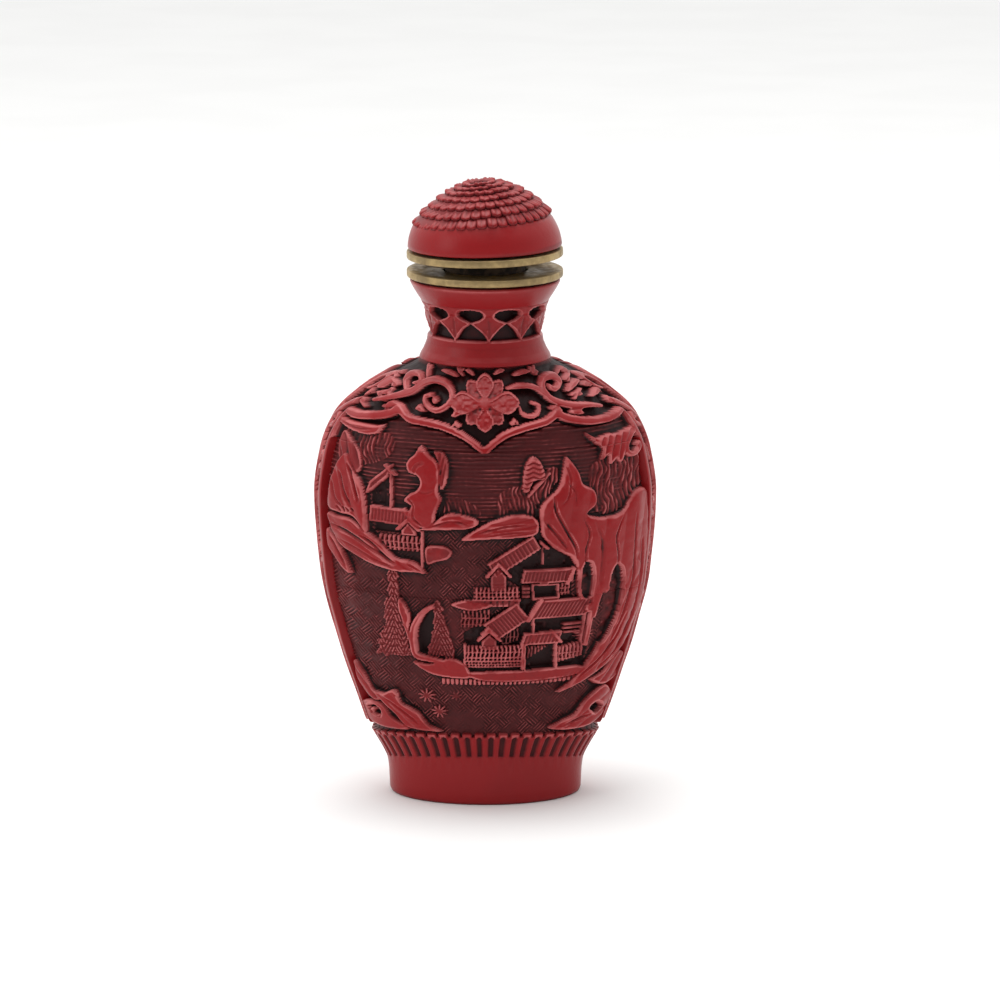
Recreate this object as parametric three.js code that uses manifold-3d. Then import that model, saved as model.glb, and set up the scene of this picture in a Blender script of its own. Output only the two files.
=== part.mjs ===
// A moulded and carved red snuff bottle in the cinnabar-lacquer manner, with its stopper resting in the mouth.
// Millimetres, +Z up. The foot's underside is at z = 0 and its centre is the origin.
// The bottle is a flattened oval: its broad front faces -Y, and its narrow sides face -X and +X.

import * as THREE from 'three';
import { mergeVertices } from 'three/addons/utils/BufferGeometryUtils.js';
import { TessellateModifier } from 'three/addons/modifiers/TessellateModifier.js';
import Module from 'manifold-3d';

const wasm = await Module();
wasm.setup();

// Driving sizes

const SIDES = 28;             // facets round the bottle
const BAND_Z = 8.6;           // top of the fluted band above the foot
const RING_Z = 54.4;          // top of the shoulder, where the round neck starts
const MOUTH_Z = 63.7;         // top of the flared cup at the mouth
const RELIEF = 0.9;           // height of the carving above its ground
const ROOT = 0.5;             // how far a carved figure reaches down into the wall
const WALL = 3;               // wall between the carving's ground and the hollow
const DISC_R = 9.44;          // both brass discs
const DISC_T = 1.05;
const DISC_SIDES = 32;
const COLLAR_Z = 64;          // underside of the brass collar on the mouth
const BORE_R = 5.25;          // the mouth's bore at its top, tapering down
const BORE_LOW_R = 4.5;
const CORK_R = 4.9;
const CORK_LOW_R = 4.1;
const CORK_LOW_Z = 57;
const CORK_TOP_Z = 65.8;
const STOPPER_Z = 66.2;       // underside of the stopper's brass disc
const STOPPER_TILT = 0.02;    // the stopper sits slightly crooked, in radians
const DOME_R = 9.3;
const DOME_H = 8.4;

// The outline at the top of the carving: height, half-width across the front, half-depth.
const BODY = [
  [BAND_Z, 14.6, 10], [12.5, 15.95, 10.9], [20, 18.35, 12.8], [28, 20.2, 14.1], [37.5, 20.9, 14.6],
  [43, 20.1, 14.2], [47, 18.5, 13.3], [50, 15.7, 11.7], [52, 12.7, 9.9], [53.4, 10, 8.6], [RING_Z, 8.2, 7.9],
];
const BODY_STEPS = 10;        // rows of facets up the body

const bodyCurve = new THREE.CatmullRomCurve3(BODY.map(([z, a, b]) => new THREE.Vector3(a, b, z)), false, 'centripetal');
const bodyTable = bodyCurve.getPoints(200);

// Half-width and half-depth of the body at a height.
function bodySize(z) {
  const above = Math.max(1, bodyTable.findIndex((p) => p.z >= z));
  const upper = bodyTable[z > RING_Z ? bodyTable.length - 1 : above];
  const lower = bodyTable[above - 1];
  const t = THREE.MathUtils.clamp((z - lower.z) / (upper.z - lower.z), 0, 1);
  return [THREE.MathUtils.lerp(lower.x, upper.x, t), THREE.MathUtils.lerp(lower.y, upper.y, t)];
}

// Solids

function toManifold(geometry) {
  const bare = geometry.clone();
  for (const name of Object.keys(bare.attributes)) {
    if (name !== 'position') bare.deleteAttribute(name);
  }
  const merged = mergeVertices(bare, 1e-4);
  const index = [];
  const order = merged.index.array;
  for (let i = 0; i < order.length; i += 3) {
    const [a, b, c] = [order[i], order[i + 1], order[i + 2]];
    if (a !== b && b !== c && c !== a) index.push(a, b, c);
  }
  const vertProperties = Float32Array.from(merged.attributes.position.array);
  return new wasm.Manifold(new wasm.Mesh({ numProp: 3, vertProperties, triVerts: Uint32Array.from(index) }));
}

function toGeometry(solid) {
  const mesh = solid.getMesh();
  const geometry = new THREE.BufferGeometry();
  geometry.setAttribute('position', new THREE.BufferAttribute(mesh.vertProperties, 3));
  geometry.setIndex(new THREE.BufferAttribute(mesh.triVerts, 1));
  return geometry;
}

// A turned form whose rings are ovals: each ring is [z, half-width, half-depth].
function ovalLathe(rings, sides = SIDES) {
  const geometry = new THREE.LatheGeometry(rings.map(([z, a]) => new THREE.Vector2(a, z)), sides);
  geometry.rotateX(Math.PI / 2);
  const position = geometry.attributes.position;
  for (let i = 0; i < position.count; i++) {
    const [, a, b] = rings[i % rings.length];
    if (a > 0) position.setY(i, position.getY(i) * b / a);
  }
  return geometry;
}

function roundLathe(profile, sides = SIDES) {
  return ovalLathe(profile.map(([z, r]) => [z, r, r]), sides);
}

// Where a figure's point lies on the body. A figure is drawn flat, as seen square on from its own side:
// s runs to the right, z up, and lift is the height above the carving's ground.
function onBody(side, s, z, lift) {
  const [a, b] = bodySize(z);
  const outer = lift - RELIEF;
  const [wide, deep] = side === 'front' || side === 'back' ? [a, b] : [b, a];
  const angle = Math.asin(THREE.MathUtils.clamp(s / wide, -0.985, 0.985));
  const along = (wide + outer) * Math.sin(angle);
  const out = (deep + outer) * Math.cos(angle);
  if (side === 'front') return [along, -out];
  if (side === 'back') return [-along, out];
  if (side === 'right') return [out, along];
  return [-out, -along];
}

const FACET = 7;              // longest facet edge of a figure, so that it follows the curve

// A raised figure from its flat outline of [s, z] points.
function figure(side, outline, height = RELIEF) {
  const shape = new THREE.Shape(outline.map(([s, z]) => new THREE.Vector2(s, z)));
  const flat = new THREE.ExtrudeGeometry(shape, { depth: 1, bevelEnabled: false, steps: 1 });
  const geometry = new TessellateModifier(FACET, 6).modify(flat);
  const position = geometry.attributes.position;
  for (let i = 0; i < position.count; i++) {
    const z = position.getY(i);
    const lift = THREE.MathUtils.lerp(-ROOT, height, position.getZ(i));
    const [x, y] = onBody(side, position.getX(i), z, lift);
    position.setXYZ(i, x, y, z);
  }
  return toManifold(geometry);
}

function smooth(points, count, closed = false) {
  const curve = new THREE.CatmullRomCurve3(points.map(([s, z]) => new THREE.Vector3(s, z, 0)), closed, 'centripetal');
  const samples = curve.getPoints(count).map((p) => [p.x, p.y]);
  return closed ? samples.slice(0, -1) : samples;
}

// The outline of a strip of a given width along a path of [s, z] points.
function strip(path, width, taper = 1) {
  const left = [];
  const right = [];
  path.forEach(([s, z], i) => {
    const before = path[Math.max(0, i - 1)];
    const after = path[Math.min(path.length - 1, i + 1)];
    const length = Math.hypot(after[0] - before[0], after[1] - before[1]);
    const half = width / 2 * THREE.MathUtils.lerp(1, taper, i / (path.length - 1));
    const ns = -(after[1] - before[1]) / length * half;
    const nz = (after[0] - before[0]) / length * half;
    left.push([s + ns, z + nz]);
    right.unshift([s - ns, z - nz]);
  });
  return [...right, ...left];
}

// A curl that winds inward from radius to half of it, starting at an angle and turning by a signed sweep.
function curl(s, z, radius, start, sweep, count = 5) {
  const points = [];
  for (let i = 0; i <= count; i++) {
    const t = i / count;
    const angle = start + sweep * t;
    const r = radius * (1 - 0.55 * t);
    points.push([s + r * Math.cos(angle), z + r * Math.sin(angle)]);
  }
  return points;
}

function blob(points, count) {
  return smooth(points, count, true);
}

// A leaf or petal from its root to its tip.
function leaf(s, z, angle, length, width) {
  const point = (along, across) => [
    s + along * Math.cos(angle) - across * Math.sin(angle),
    z + along * Math.sin(angle) + across * Math.cos(angle),
  ];
  return [point(0, -width * 0.15), point(length * 0.6, -width / 2), point(length, 0), point(length * 0.6, width / 2),
    point(0, width * 0.15)];
}

// Buildings: a roof is a leaning four-sided slope, and a wall is the upright face under it.
function roof(s, z, length, rise, climb, lean) {
  return [[s, z], [s + length, z + climb], [s + length + lean, z + climb + rise], [s + lean, z + rise]];
}

function wall(s, z, width, height) {
  return [[s, z], [s + width, z], [s + width, z + height], [s, z + height]];
}

function gable(s, z, width, height, peak) {
  return [[s, z], [s + width, z], [s + width, z + height], [s + width / 2, z + height + peak], [s, z + height]];
}

function cypress(s, z, width, height) {
  return [[s - width / 2, z], [s + width / 2, z], [s + width * 0.4, z + height * 0.4], [s, z + height],
    [s - width * 0.4, z + height * 0.4]];
}

// The shoulder collar: a smooth ruyi border with a pointed drop at the middle, and a lotus between scrolls.
const RUYI = [[-18, 49.2], [-16.6, 48.3], [-13.8, 48.2], [-10.4, 49], [-7.6, 48.1], [-4.4, 47.4], [-2.2, 46.6],
  [0, 45.4], [2.4, 46.7], [5, 47.7], [8.4, 48.8], [9.9, 49], [13, 48.6], [16.2, 48.5], [17.8, 49.3]];
const LOTUS = [0, 50.6];

function collarCarving(side, scrolls) {
  const parts = [figure(side, strip(RUYI, 0.95))];
  for (let i = 0; i < 4; i++) {
    const angle = Math.PI / 2 * i;
    const length = i % 2 === 0 ? 4.2 : 2.9;
    parts.push(figure(side, leaf(LOTUS[0], LOTUS[1], angle, length, 2.2)));
  }
  for (const hand of [-1, 1]) {
    const angle = hand > 0 ? -0.8 : Math.PI + 0.8;
    parts.push(figure(side, leaf(LOTUS[0], LOTUS[1], angle, 3.4, 1.6), 0.6));
    for (const reach of scrolls) {
      const winding = curl(hand * reach, 50.4, 1.7, angle - hand * 0.4, hand * 4.5);
      parts.push(figure(side, strip(winding, 0.8)));
    }
  }
  return parts;
}

// The front scene: cliffs at both sides, islands and a beaked rock on the water, and a walled village.
function frontScene() {
  const raised = (outline, height) => figure('front', outline, height);
  return [
    raised(blob([[-18.6, 43.5], [-16.6, 41.6], [-15.2, 38.4], [-14.6, 35.6], [-17, 36.6], [-19.4, 39]], 8)),
    raised(blob([[-18.8, 36.2], [-15.6, 36], [-12.4, 33.2], [-7.6, 31.1], [-8.4, 29.8], [-13.6, 30], [-18, 31.4]], 10)),
    raised(blob([[-8, 45.1], [-6.6, 44.6], [-5.2, 44.2], [-4.9, 41.2], [-5.6, 38.4], [-6.4, 35.8], [-8.8, 36.6],
      [-9.4, 38.4], [-7.8, 40.6], [-8.6, 43.4]], 12)),
    raised(roof(-14.4, 39.2, 2.8, 1.5, 2.6, 0.5), 0.6),
    raised(roof(-14.2, 36.1, 5, 1.6, 0, 0), 0.6),
    raised(gable(-10.4, 34.9, 1.9, 0.9, 1.1), 0.7),
    raised(wall(-13.2, 32.6, 5.5, 2), 0.5),
    raised(blob([[-8.8, 35.2], [-5, 37.6], [-1, 36.9], [-2, 35.7]], 7)),
    raised(blob([[-2.7, 34.5], [1.4, 37], [6, 37.3], [6.8, 35.3], [2, 34.6]], 8)),
    raised(blob([[-7.4, 32.6], [-4.6, 33.3], [-4.2, 32.2], [-7.2, 31.2]], 7), 0.5),
    raised(blob([[5, 40.6], [5.4, 43.6], [6.7, 44.1], [7.7, 42.6], [7.2, 40]], 8), 0.7),
    raised(blob([[10, 44.2], [11.6, 41.4], [13.4, 39.8], [12.8, 37.4], [15.4, 37.2], [18.9, 40.4], [19.2, 33],
      [18.4, 25], [16, 18.4], [9.4, 15], [13.6, 19.6], [15.2, 25], [13, 27], [10.8, 31], [7, 35.2], [7.2, 38.8],
      [9, 40.4]], 19)),
    raised(blob([[12.4, 46.4], [16, 45.9], [18.6, 46], [18.2, 43.4], [15.6, 42.4], [14.6, 44.4]], 8)),
    raised(roof(0.4, 30.6, 5.4, 1.8, 3.2, 1), 0.8),
    raised(gable(0.7, 28.1, 2.1, 2, 1.2)),
    raised(roof(4.6, 29, 6.2, 1.5, 0, 0.4), 0.8),
    raised(wall(4.8, 26.6, 5.8, 2.3), 0.5),
    raised(wall(-1.3, 26.2, 5.6, 1.8), 0.6),
    raised(blob([[-3.8, 26.2], [0, 26.6], [3.4, 25.6], [-1, 22.6], [-2.6, 23.4]], 8), 0.7),
    raised(roof(5.7, 24.7, 6.6, 1.8, 0, 1), 0.8),
    raised(wall(6.2, 21.2, 6, 3.4), 0.4),
    raised(roof(-0.6, 22.7, 2.6, 1.2, -0.9, 3.2), 0.8),
    raised(gable(-0.4, 20.4, 2, 1.9, 1.1)),
    raised(roof(4.3, 21.1, 4.6, 1.6, 0, 0.3), 0.8),
    raised(wall(4.8, 17.8, 4, 3.2), 0.5),
    raised(wall(-2.5, 18.1, 7, 2.6), 0.6),
    raised(wall(9, 18.3, 3, 2.4), 0.6),
    raised(blob([[-8.6, 18.5], [-4, 18.8], [4, 17.8], [11, 17.4], [10, 16], [0, 16], [-6, 17]], 10)),
    raised(cypress(-11.3, 19.2, 3.6, 10.6), 0.7),
    raised(cypress(-5.6, 19.4, 2.8, 7), 0.7),
    raised(strip(smooth([[-6.4, 25.6], [-8.5, 23.6], [-8.6, 21], [-7.8, 19.6], [-5.2, 19.2]], 7), 0.8), 0.7),
    raised(blob([[-15.2, 15.4], [-13.6, 14], [-11, 14.2], [-8.4, 12], [-5.6, 9.8], [-11, 10.4], [-13.6, 12]], 10)),
    raised(strip(curl(-13.2, 10.7, 1.6, 0.6, 4.6), 0.8)),
    raised(blob([[8.4, 9.7], [11, 11.4], [13.4, 13], [14.4, 11.4], [12, 9.9]], 8)),
  ];
}

// The back scene, in keeping and plainer: two peaks over water, a pavilion on a bank, a pine and low rocks.
function backScene() {
  const raised = (outline, height) => figure('back', outline, height);
  return [
    raised(blob([[-16.8, 40], [-14, 44], [-11.4, 40.6], [-9.6, 37.6], [-12, 31], [-14.6, 25], [-17.6, 28],
      [-18.6, 34]], 12)),
    raised(blob([[12.6, 43.4], [15, 40.6], [17, 38], [17.4, 31], [14.4, 30], [12.6, 34], [10.6, 38]], 10)),
    raised(blob([[-7, 36.6], [-2, 38.4], [3.4, 37.2], [-1, 35.6]], 8)),
    raised(blob([[3.6, 33.2], [7, 34.6], [10.4, 33.2], [7, 32.2]], 7)),
    raised(roof(-4.4, 27.2, 8.8, 2.2, 0, 0), 0.8),
    raised(wall(-3.4, 23, 6.8, 4.1), 0.5),
    raised(wall(-9.6, 22.2, 5.6, 2.2), 0.6),
    raised(wall(4.4, 22.2, 5.4, 2.2), 0.6),
    raised(blob([[-12, 21.2], [-4, 22], [6, 21.8], [12, 21], [4, 19.4], [-6, 19.4]], 10)),
    raised(cypress(11.8, 21.6, 3.2, 9)),
    raised(blob([[-14.6, 14.8], [-10, 14.4], [-5.4, 10.2], [-11, 10.2]], 8)),
    raised(blob([[7.4, 10.2], [11.4, 13.6], [14.4, 13.6], [12.6, 10.4]], 8)),
  ];
}

// A narrow side: a tall panel of scrolls between two smooth upright strips.
const SIDE_CURLS = 5;

function sidePanel(side) {
  const parts = [];
  for (const hand of [-1, 1]) {
    const edge = [[hand * 3.6, 11.4], [hand * 4.5, 20], [hand * 5.1, 29], [hand * 5.4, 38], [hand * 5, 44.5]];
    parts.push(figure(side, strip(edge, 0.9)));
  }
  for (let i = 0; i < SIDE_CURLS; i++) {
    const hand = i % 2 === 0 ? 1 : -1;
    const z = 15 + i * 6.8;
    const reach = THREE.MathUtils.lerp(1.6, 2.6, i / (SIDE_CURLS - 1));
    parts.push(figure(side, strip(curl(hand * 0.6, z, reach, -hand * 1.4, hand * 4.8), 1)));
  }
  return parts;
}

// Flutes: upright tongues standing side by side on the flare above the foot.
const FLUTES = 46;
const FLUTE_DEPTH = 0.6;

function flutes() {
  const rings = [[4, 0, 0], [4, 12.1, 8.3], [8.2, 14.3, 9.9], [8.2, 0, 0]];
  const geometry = ovalLathe(rings, FLUTES * 2);
  const position = geometry.attributes.position;
  for (let i = 0; i < position.count; i++) {
    const column = Math.floor(i / rings.length);
    if (column % 2 === 0) continue;
    const r = Math.hypot(position.getX(i), position.getY(i));
    const scale = r > 0 ? (r - FLUTE_DEPTH) / r : 1;
    position.setXY(i, position.getX(i) * scale, position.getY(i) * scale);
  }
  return toManifold(geometry);
}

// The neck: pendant leaves hang from the cup over a deep ground, down to a plain concave ring.
const NECK_LEAVES = 9;
const NECK_R = 7.3;

function neckLeaf(i) {
  const middle = Math.PI * 2 * (i + 0.5) / NECK_LEAVES;
  const outline = [[-0.75, 61.8], [-0.75, 59.4], [-1.8, 58.8], [0, 56.2], [1.8, 58.8], [0.75, 59.4], [0.75, 61.8]];
  const shape = new THREE.Shape(outline.map(([s, z]) => new THREE.Vector2(s, z)));
  const flat = new THREE.ExtrudeGeometry(shape, { depth: 1, bevelEnabled: false, steps: 1 });
  const position = flat.attributes.position;
  for (let k = 0; k < position.count; k++) {
    const angle = middle + position.getX(k) / NECK_R;
    const r = THREE.MathUtils.lerp(5.8, NECK_R, position.getZ(k));
    position.setXYZ(k, r * Math.sin(angle), -r * Math.cos(angle), position.getY(k));
  }
  return toManifold(flat);
}

// The bottle: foot, hollow body, neck and the cup at the mouth, moulded as one piece.
function vessel() {
  const outside = [[1.2, 0, 0], [1.2, 9.2, 5.8], [0, 9.6, 6.2], [0, 11.5, 7.8], [0.4, 11.75, 8], [2.6, 11.85, 8.1],
    [3.6, 12, 8.2], [3.9, 11.5, 7.7], [BAND_Z - 0.6, 13.5, 9.1]];
  for (let i = 0; i <= BODY_STEPS; i++) {
    const z = THREE.MathUtils.lerp(BAND_Z, RING_Z - 0.3, 1 - (1 - i / BODY_STEPS) ** 1.25);
    const [a, b] = bodySize(z);
    outside.push([z, a - RELIEF, b - RELIEF]);
  }
  const neck = [[RING_Z, 7.7], [55.5, 7], [55.8, 6.4], [61.6, 6.6], [61.7, 8.4], [62.2, 8.75], [MOUTH_Z, 9.1]]
    .map(([z, r]) => [z, r, r]);
  const hollow = [[MOUTH_Z, BORE_R, BORE_R], [CORK_LOW_Z, BORE_LOW_R, BORE_LOW_R], [53, BORE_LOW_R, BORE_LOW_R]];
  for (const z of [48.5, 42, 33, 22, 11]) {
    const [a, b] = bodySize(z);
    hollow.push([z, a - RELIEF - WALL, b - RELIEF - WALL]);
  }
  hollow.push([7.2, 7.4, 4.2], [6.4, 0, 0]);
  return toManifold(ovalLathe([...outside, ...neck, ...hollow]));
}

function bottle() {
  const carving = [...collarCarving('front', [6.2, 12]), ...collarCarving('back', [7]), ...frontScene(), ...backScene(),
    ...sidePanel('left'), ...sidePanel('right'), flutes()];
  for (let i = 0; i < NECK_LEAVES; i++) carving.push(neckLeaf(i));
  const joined = wasm.Manifold.union([vessel(), ...carving]);
  return toGeometry(joined.simplify(0.02));
}

// The brass collar on the mouth and the brass disc under the stopper's cap.
function brassCollar() {
  return roundLathe([[COLLAR_Z, BORE_R], [COLLAR_Z, DISC_R],
    [COLLAR_Z + DISC_T, DISC_R], [COLLAR_Z + DISC_T, BORE_R], [COLLAR_Z, BORE_R]], DISC_SIDES);
}

function stopperDisc() {
  return roundLathe([[0, 0], [0, DISC_R], [DISC_T, DISC_R], [DISC_T, 0]], DISC_SIDES);
}

function cork() {
  return roundLathe([[CORK_LOW_Z, 0], [CORK_LOW_Z, CORK_LOW_R - 0.3], [CORK_LOW_Z + 0.3, CORK_LOW_R],
    [CORK_TOP_Z, CORK_R], [CORK_TOP_Z, 0]], 16);
}

// The cap: a plain band with rows of small overlapping petals above it, stepping in toward the crown.
const PETAL_ROWS = 5;
const PETAL_SIDES = 32;

function domeRadius(z) {
  return DOME_R * Math.sqrt(1 - (z / (DOME_H + 0.35)) ** 2.1);
}

function dome() {
  const band = 3.2;
  const profile = [[0, 0], [0, DOME_R - 0.15], [0.2, DOME_R]];
  profile.push([band * 0.6, domeRadius(band * 0.6)], [band, domeRadius(band)]);
  for (let row = 0; row < PETAL_ROWS; row++) {
    const low = THREE.MathUtils.lerp(band, DOME_H - 0.25, (row / PETAL_ROWS) ** 0.8);
    const high = THREE.MathUtils.lerp(band, DOME_H - 0.25, ((row + 1) / PETAL_ROWS) ** 0.8);
    profile.push([low + 0.15, domeRadius(low) + 0.1], [high - 0.02, domeRadius(high) - 0.15]);
  }
  profile.push([DOME_H, 0]);
  return roundLathe(profile, PETAL_SIDES);
}

// Scene

const red = { roughness: 0.4, metalness: 0 };
const MATERIALS = {
  bottle: new THREE.MeshStandardMaterial({ color: 0x8a2b30, ...red }),
  mouth_collar: new THREE.MeshStandardMaterial({ color: 0x9a8450, roughness: 0.45, metalness: 1 }),
  cork_plug: new THREE.MeshStandardMaterial({ color: 0x2a211a, roughness: 0.9, metalness: 0 }),
  stopper_disc: new THREE.MeshStandardMaterial({ color: 0x9a8450, roughness: 0.45, metalness: 1 }),
  stopper_dome: new THREE.MeshStandardMaterial({ color: 0x94323a, ...red }),
};

const group = new THREE.Group();

function add(name, geometry, parent = group) {
  const mesh = new THREE.Mesh(geometry, MATERIALS[name]);
  mesh.name = name;
  parent.add(mesh);
  return mesh;
}

add('bottle', bottle());
add('mouth_collar', brassCollar());
add('cork_plug', cork());

const stopper = new THREE.Group();
stopper.position.z = STOPPER_Z;
stopper.rotation.y = -STOPPER_TILT;
group.add(stopper);
add('stopper_disc', stopperDisc(), stopper);
add('stopper_dome', dome(), stopper).position.z = DISC_T + 0.3;

export default group;
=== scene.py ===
# A moulded red snuff bottle in the cinnabar-lacquer manner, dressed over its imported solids. The figures are cut in a
# height field over the vessel's oval form: s runs across the side that a figure is on, z up, both in millimetres, and
# a lift of 0 is the top of the carving.
import math

import bpy
import numpy as np
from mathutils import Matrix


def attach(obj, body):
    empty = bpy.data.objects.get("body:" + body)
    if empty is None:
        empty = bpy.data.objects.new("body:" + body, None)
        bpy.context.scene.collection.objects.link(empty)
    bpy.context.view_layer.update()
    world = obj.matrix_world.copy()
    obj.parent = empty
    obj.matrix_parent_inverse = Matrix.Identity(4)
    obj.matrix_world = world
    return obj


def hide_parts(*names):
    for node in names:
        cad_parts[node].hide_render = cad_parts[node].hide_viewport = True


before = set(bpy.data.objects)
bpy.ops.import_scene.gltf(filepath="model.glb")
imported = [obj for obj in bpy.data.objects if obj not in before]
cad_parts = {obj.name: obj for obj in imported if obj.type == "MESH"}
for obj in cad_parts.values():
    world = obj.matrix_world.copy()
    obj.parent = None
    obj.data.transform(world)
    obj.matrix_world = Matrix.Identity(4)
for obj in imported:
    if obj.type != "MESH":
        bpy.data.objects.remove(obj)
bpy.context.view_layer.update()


# ---- The vessel's form -------------------------------------------------------------------------------------------
# One hollow moulding in red resin: an oval foot, a flattened oval body and a round neck. These are its outline at the
# top of the carving, and the grid that its skin is made on.

MM = 0.001
FOOT_TOP = 9.0
SHOULDER_TOP = 54.4
BODY = np.array([
    (8.6, 14.6, 10.0), (12.5, 15.95, 10.9), (20, 18.35, 12.8), (28, 20.2, 14.1), (37.5, 20.87, 14.54),
    (43, 20.1, 14.1), (47, 18.5, 13.3), (50, 15.7, 11.7), (52, 12.7, 9.9), (53.4, 10.0, 8.6), (54.4, 8.2, 7.9),
])
GROUND = -1.1
DEEP = -1.7
WALL = 3.9


def monotone(x, y, at):
    """A smooth curve through points that never overshoots between them."""
    step = np.diff(x)
    slope = np.diff(y) / step
    tangent = np.zeros(len(x))
    w1 = 2 * step[1:] + step[:-1]
    w2 = step[1:] + 2 * step[:-1]
    same = slope[:-1] * slope[1:] > 0
    safe = np.where(same, slope[:-1], 1), np.where(same, slope[1:], 1)
    tangent[1:-1] = np.where(same, (w1 + w2) / (w1 / safe[0] + w2 / safe[1]), 0)
    tangent[0], tangent[-1] = slope[0], slope[-1]
    at = np.clip(at, x[0], x[-1])
    k = np.clip(np.searchsorted(x, at, side="right") - 1, 0, len(x) - 2)
    t = (at - x[k]) / step[k]
    rise = y[k] * (1 + 2 * t) * (1 - t) ** 2 + y[k + 1] * t * t * (3 - 2 * t)
    return rise + step[k] * (tangent[k] * t * (1 - t) ** 2 - tangent[k + 1] * t * t * (1 - t))


def body_size(z):
    """Half-width and half-depth of the body at a height."""
    return monotone(BODY[:, 0], BODY[:, 1], z), monotone(BODY[:, 0], BODY[:, 2], z)


def even_rows(low, high, count):
    """Heights between two levels, evenly spaced along the body's outline."""
    z = np.linspace(low, high, 400)
    a, _ = body_size(z)
    along = np.concatenate([[0], np.cumsum(np.hypot(np.diff(a), np.diff(z)))])
    return np.interp(np.linspace(0, along[-1], count), along, z)


def lattice(s, z, size, seed):
    """Smooth random bumps from -1 to 1, about size across."""
    table = np.random.RandomState(seed).uniform(-1, 1, (64, 64))
    x, y = s / size + 31.7, z / size + 17.3
    i, j = np.floor(x).astype(int), np.floor(y).astype(int)
    u, v = x - i, y - j
    u, v = u * u * (3 - 2 * u), v * v * (3 - 2 * v)
    near = table[i % 64, j % 64] * (1 - u) + table[(i + 1) % 64, j % 64] * u
    far = table[i % 64, (j + 1) % 64] * (1 - u) + table[(i + 1) % 64, (j + 1) % 64] * u
    return near * (1 - v) + far * v


def blurred(field, radius, wrap):
    """A field softened over a radius in grid steps, first down its columns and then along its rows."""
    reach = int(3 * radius) + 1
    weights = np.exp(-0.5 * (np.arange(-reach, reach + 1) / radius) ** 2)
    weights /= weights.sum()
    for axis, mode in ((0, "edge"), (1, "wrap" if wrap else "edge")):
        pad = [(0, 0), (0, 0)]
        pad[axis] = (reach, reach)
        spread = np.pad(field, pad, mode=mode)
        field = np.zeros_like(field)
        size = field.shape[axis]
        for k, weight in enumerate(weights):
            field += weight * np.take(spread, range(k, k + size), axis=axis)
    return field


def zipper(outer, inner):
    """Triangles that join two rows of vertices with different counts."""
    faces = []
    i = j = 0
    n, m = len(outer) - 1, len(inner) - 1
    while i < n or j < m:
        if j == m or (i < n and (i + 1) * m <= (j + 1) * n):
            faces.append((outer[i], outer[i + 1], inner[j]))
            i += 1
        else:
            faces.append((outer[i], inner[j + 1], inner[j]))
            j += 1
    return faces


def grid_quads(ids):
    """Quads over a grid of vertex numbers."""
    quads = np.stack([ids[:-1, :-1], ids[:-1, 1:], ids[1:, 1:], ids[1:, :-1]], axis=-1)
    return quads.reshape(-1, 4).tolist()


def new_piece(name, points, faces, smooth, material):
    """A mesh object at the origin, from points in millimetres."""
    mesh = bpy.data.meshes.new(name)
    mesh.from_pydata((np.asarray(points) * MM).tolist(), [], faces)
    mesh.polygons.foreach_set("use_smooth", smooth)
    mesh.materials.append(material)
    mesh.update()
    piece = bpy.data.objects.new(name, mesh)
    bpy.context.scene.collection.objects.link(piece)
    return piece


def paint_depth(piece, height, cavity, edge=0.0):
    """Keep each point's height in the carving, its hollowness and its sharpness, for the finish."""
    for name, values, rest in (("height", height, 0.5), ("cavity", cavity, 0.0), ("edge", edge, 0.0)):
        layer = piece.data.attributes.new(name, "FLOAT", "POINT")
        full = np.full(len(piece.data.vertices), rest)
        full[:np.size(values)] = np.ravel(values)
        layer.data.foreach_set("value", full)


def relief_colour(lift, pitch, wrap):
    """Height from 0 in the ground to 1 on top, then hollows, then sharp edges."""
    height = np.clip((lift - DEEP) / -DEEP, 0, 1)
    # The hollows feed the finish's painted shade, and the sharp edges feed its wear and painted highlight.
    cavity = 0.7 * (lift - blurred(lift, 0.3 / pitch, wrap)) + 0.5 * (lift - blurred(lift, 1.0 / pitch, wrap))
    edge = lift - blurred(lift, 0.16 / pitch, wrap)
    return height, np.clip(cavity, -1, 1), np.clip(edge, -1, 1)


def skin(name, angles, heights, lift, closed, pitch, material):
    """A closed shell over part of the body: the carved outside, a plain inside, and flat rims between them."""
    rows, columns = lift.shape
    turn, up = np.meshgrid(angles, heights)
    a, b = body_size(up)
    outside = np.stack([(a + lift) * np.sin(turn), -(b + lift) * np.cos(turn), up], axis=-1).reshape(-1, 3)
    few = np.linspace(angles[0], angles[-1], max(12, columns // 10) + 1)
    few = few[:-1] if closed else few
    levels = np.linspace(heights[0], heights[-1], 8)
    turn, up = np.meshgrid(few, levels)
    a, b = body_size(up)
    inside = np.stack([(a - WALL) * np.sin(turn), -(b - WALL) * np.cos(turn), up], axis=-1).reshape(-1, 3)
    out_ids = np.arange(rows * columns).reshape(rows, columns)
    in_ids = rows * columns + np.arange(levels.size * few.size).reshape(levels.size, few.size)
    if closed:
        out_ids = np.hstack([out_ids, out_ids[:, :1]])
        in_ids = np.hstack([in_ids, in_ids[:, :1]])
    faces = grid_quads(out_ids)
    carved = len(faces)
    faces += [quad[::-1] for quad in grid_quads(in_ids)]
    faces += [face[::-1] for face in zipper(out_ids[0].tolist(), in_ids[0].tolist())]
    faces += zipper(out_ids[-1].tolist(), in_ids[-1].tolist())
    if not closed:
        faces += zipper(out_ids[:, 0].tolist(), in_ids[:, 0].tolist())
        faces += [face[::-1] for face in zipper(out_ids[:, -1].tolist(), in_ids[:, -1].tolist())]
    smooth = np.zeros(len(faces), bool)
    smooth[:carved] = True
    piece = new_piece(name, np.vstack([outside, inside]), faces, smooth, material)
    paint_depth(piece, *relief_colour(lift, pitch, closed))
    return piece


# ---- The red resin's finish --------------------------------------------------------------------------------------
# Deep red moulded resin with a satin polish on what stands proud. The ground is dark brown, and the deepest cuts and
# every hollow and undercut are painted black as painted shade. The edges are paler with wear and a painted highlight,
# and dust and a painted sheen pale the shoulders of the figures a little.

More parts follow.
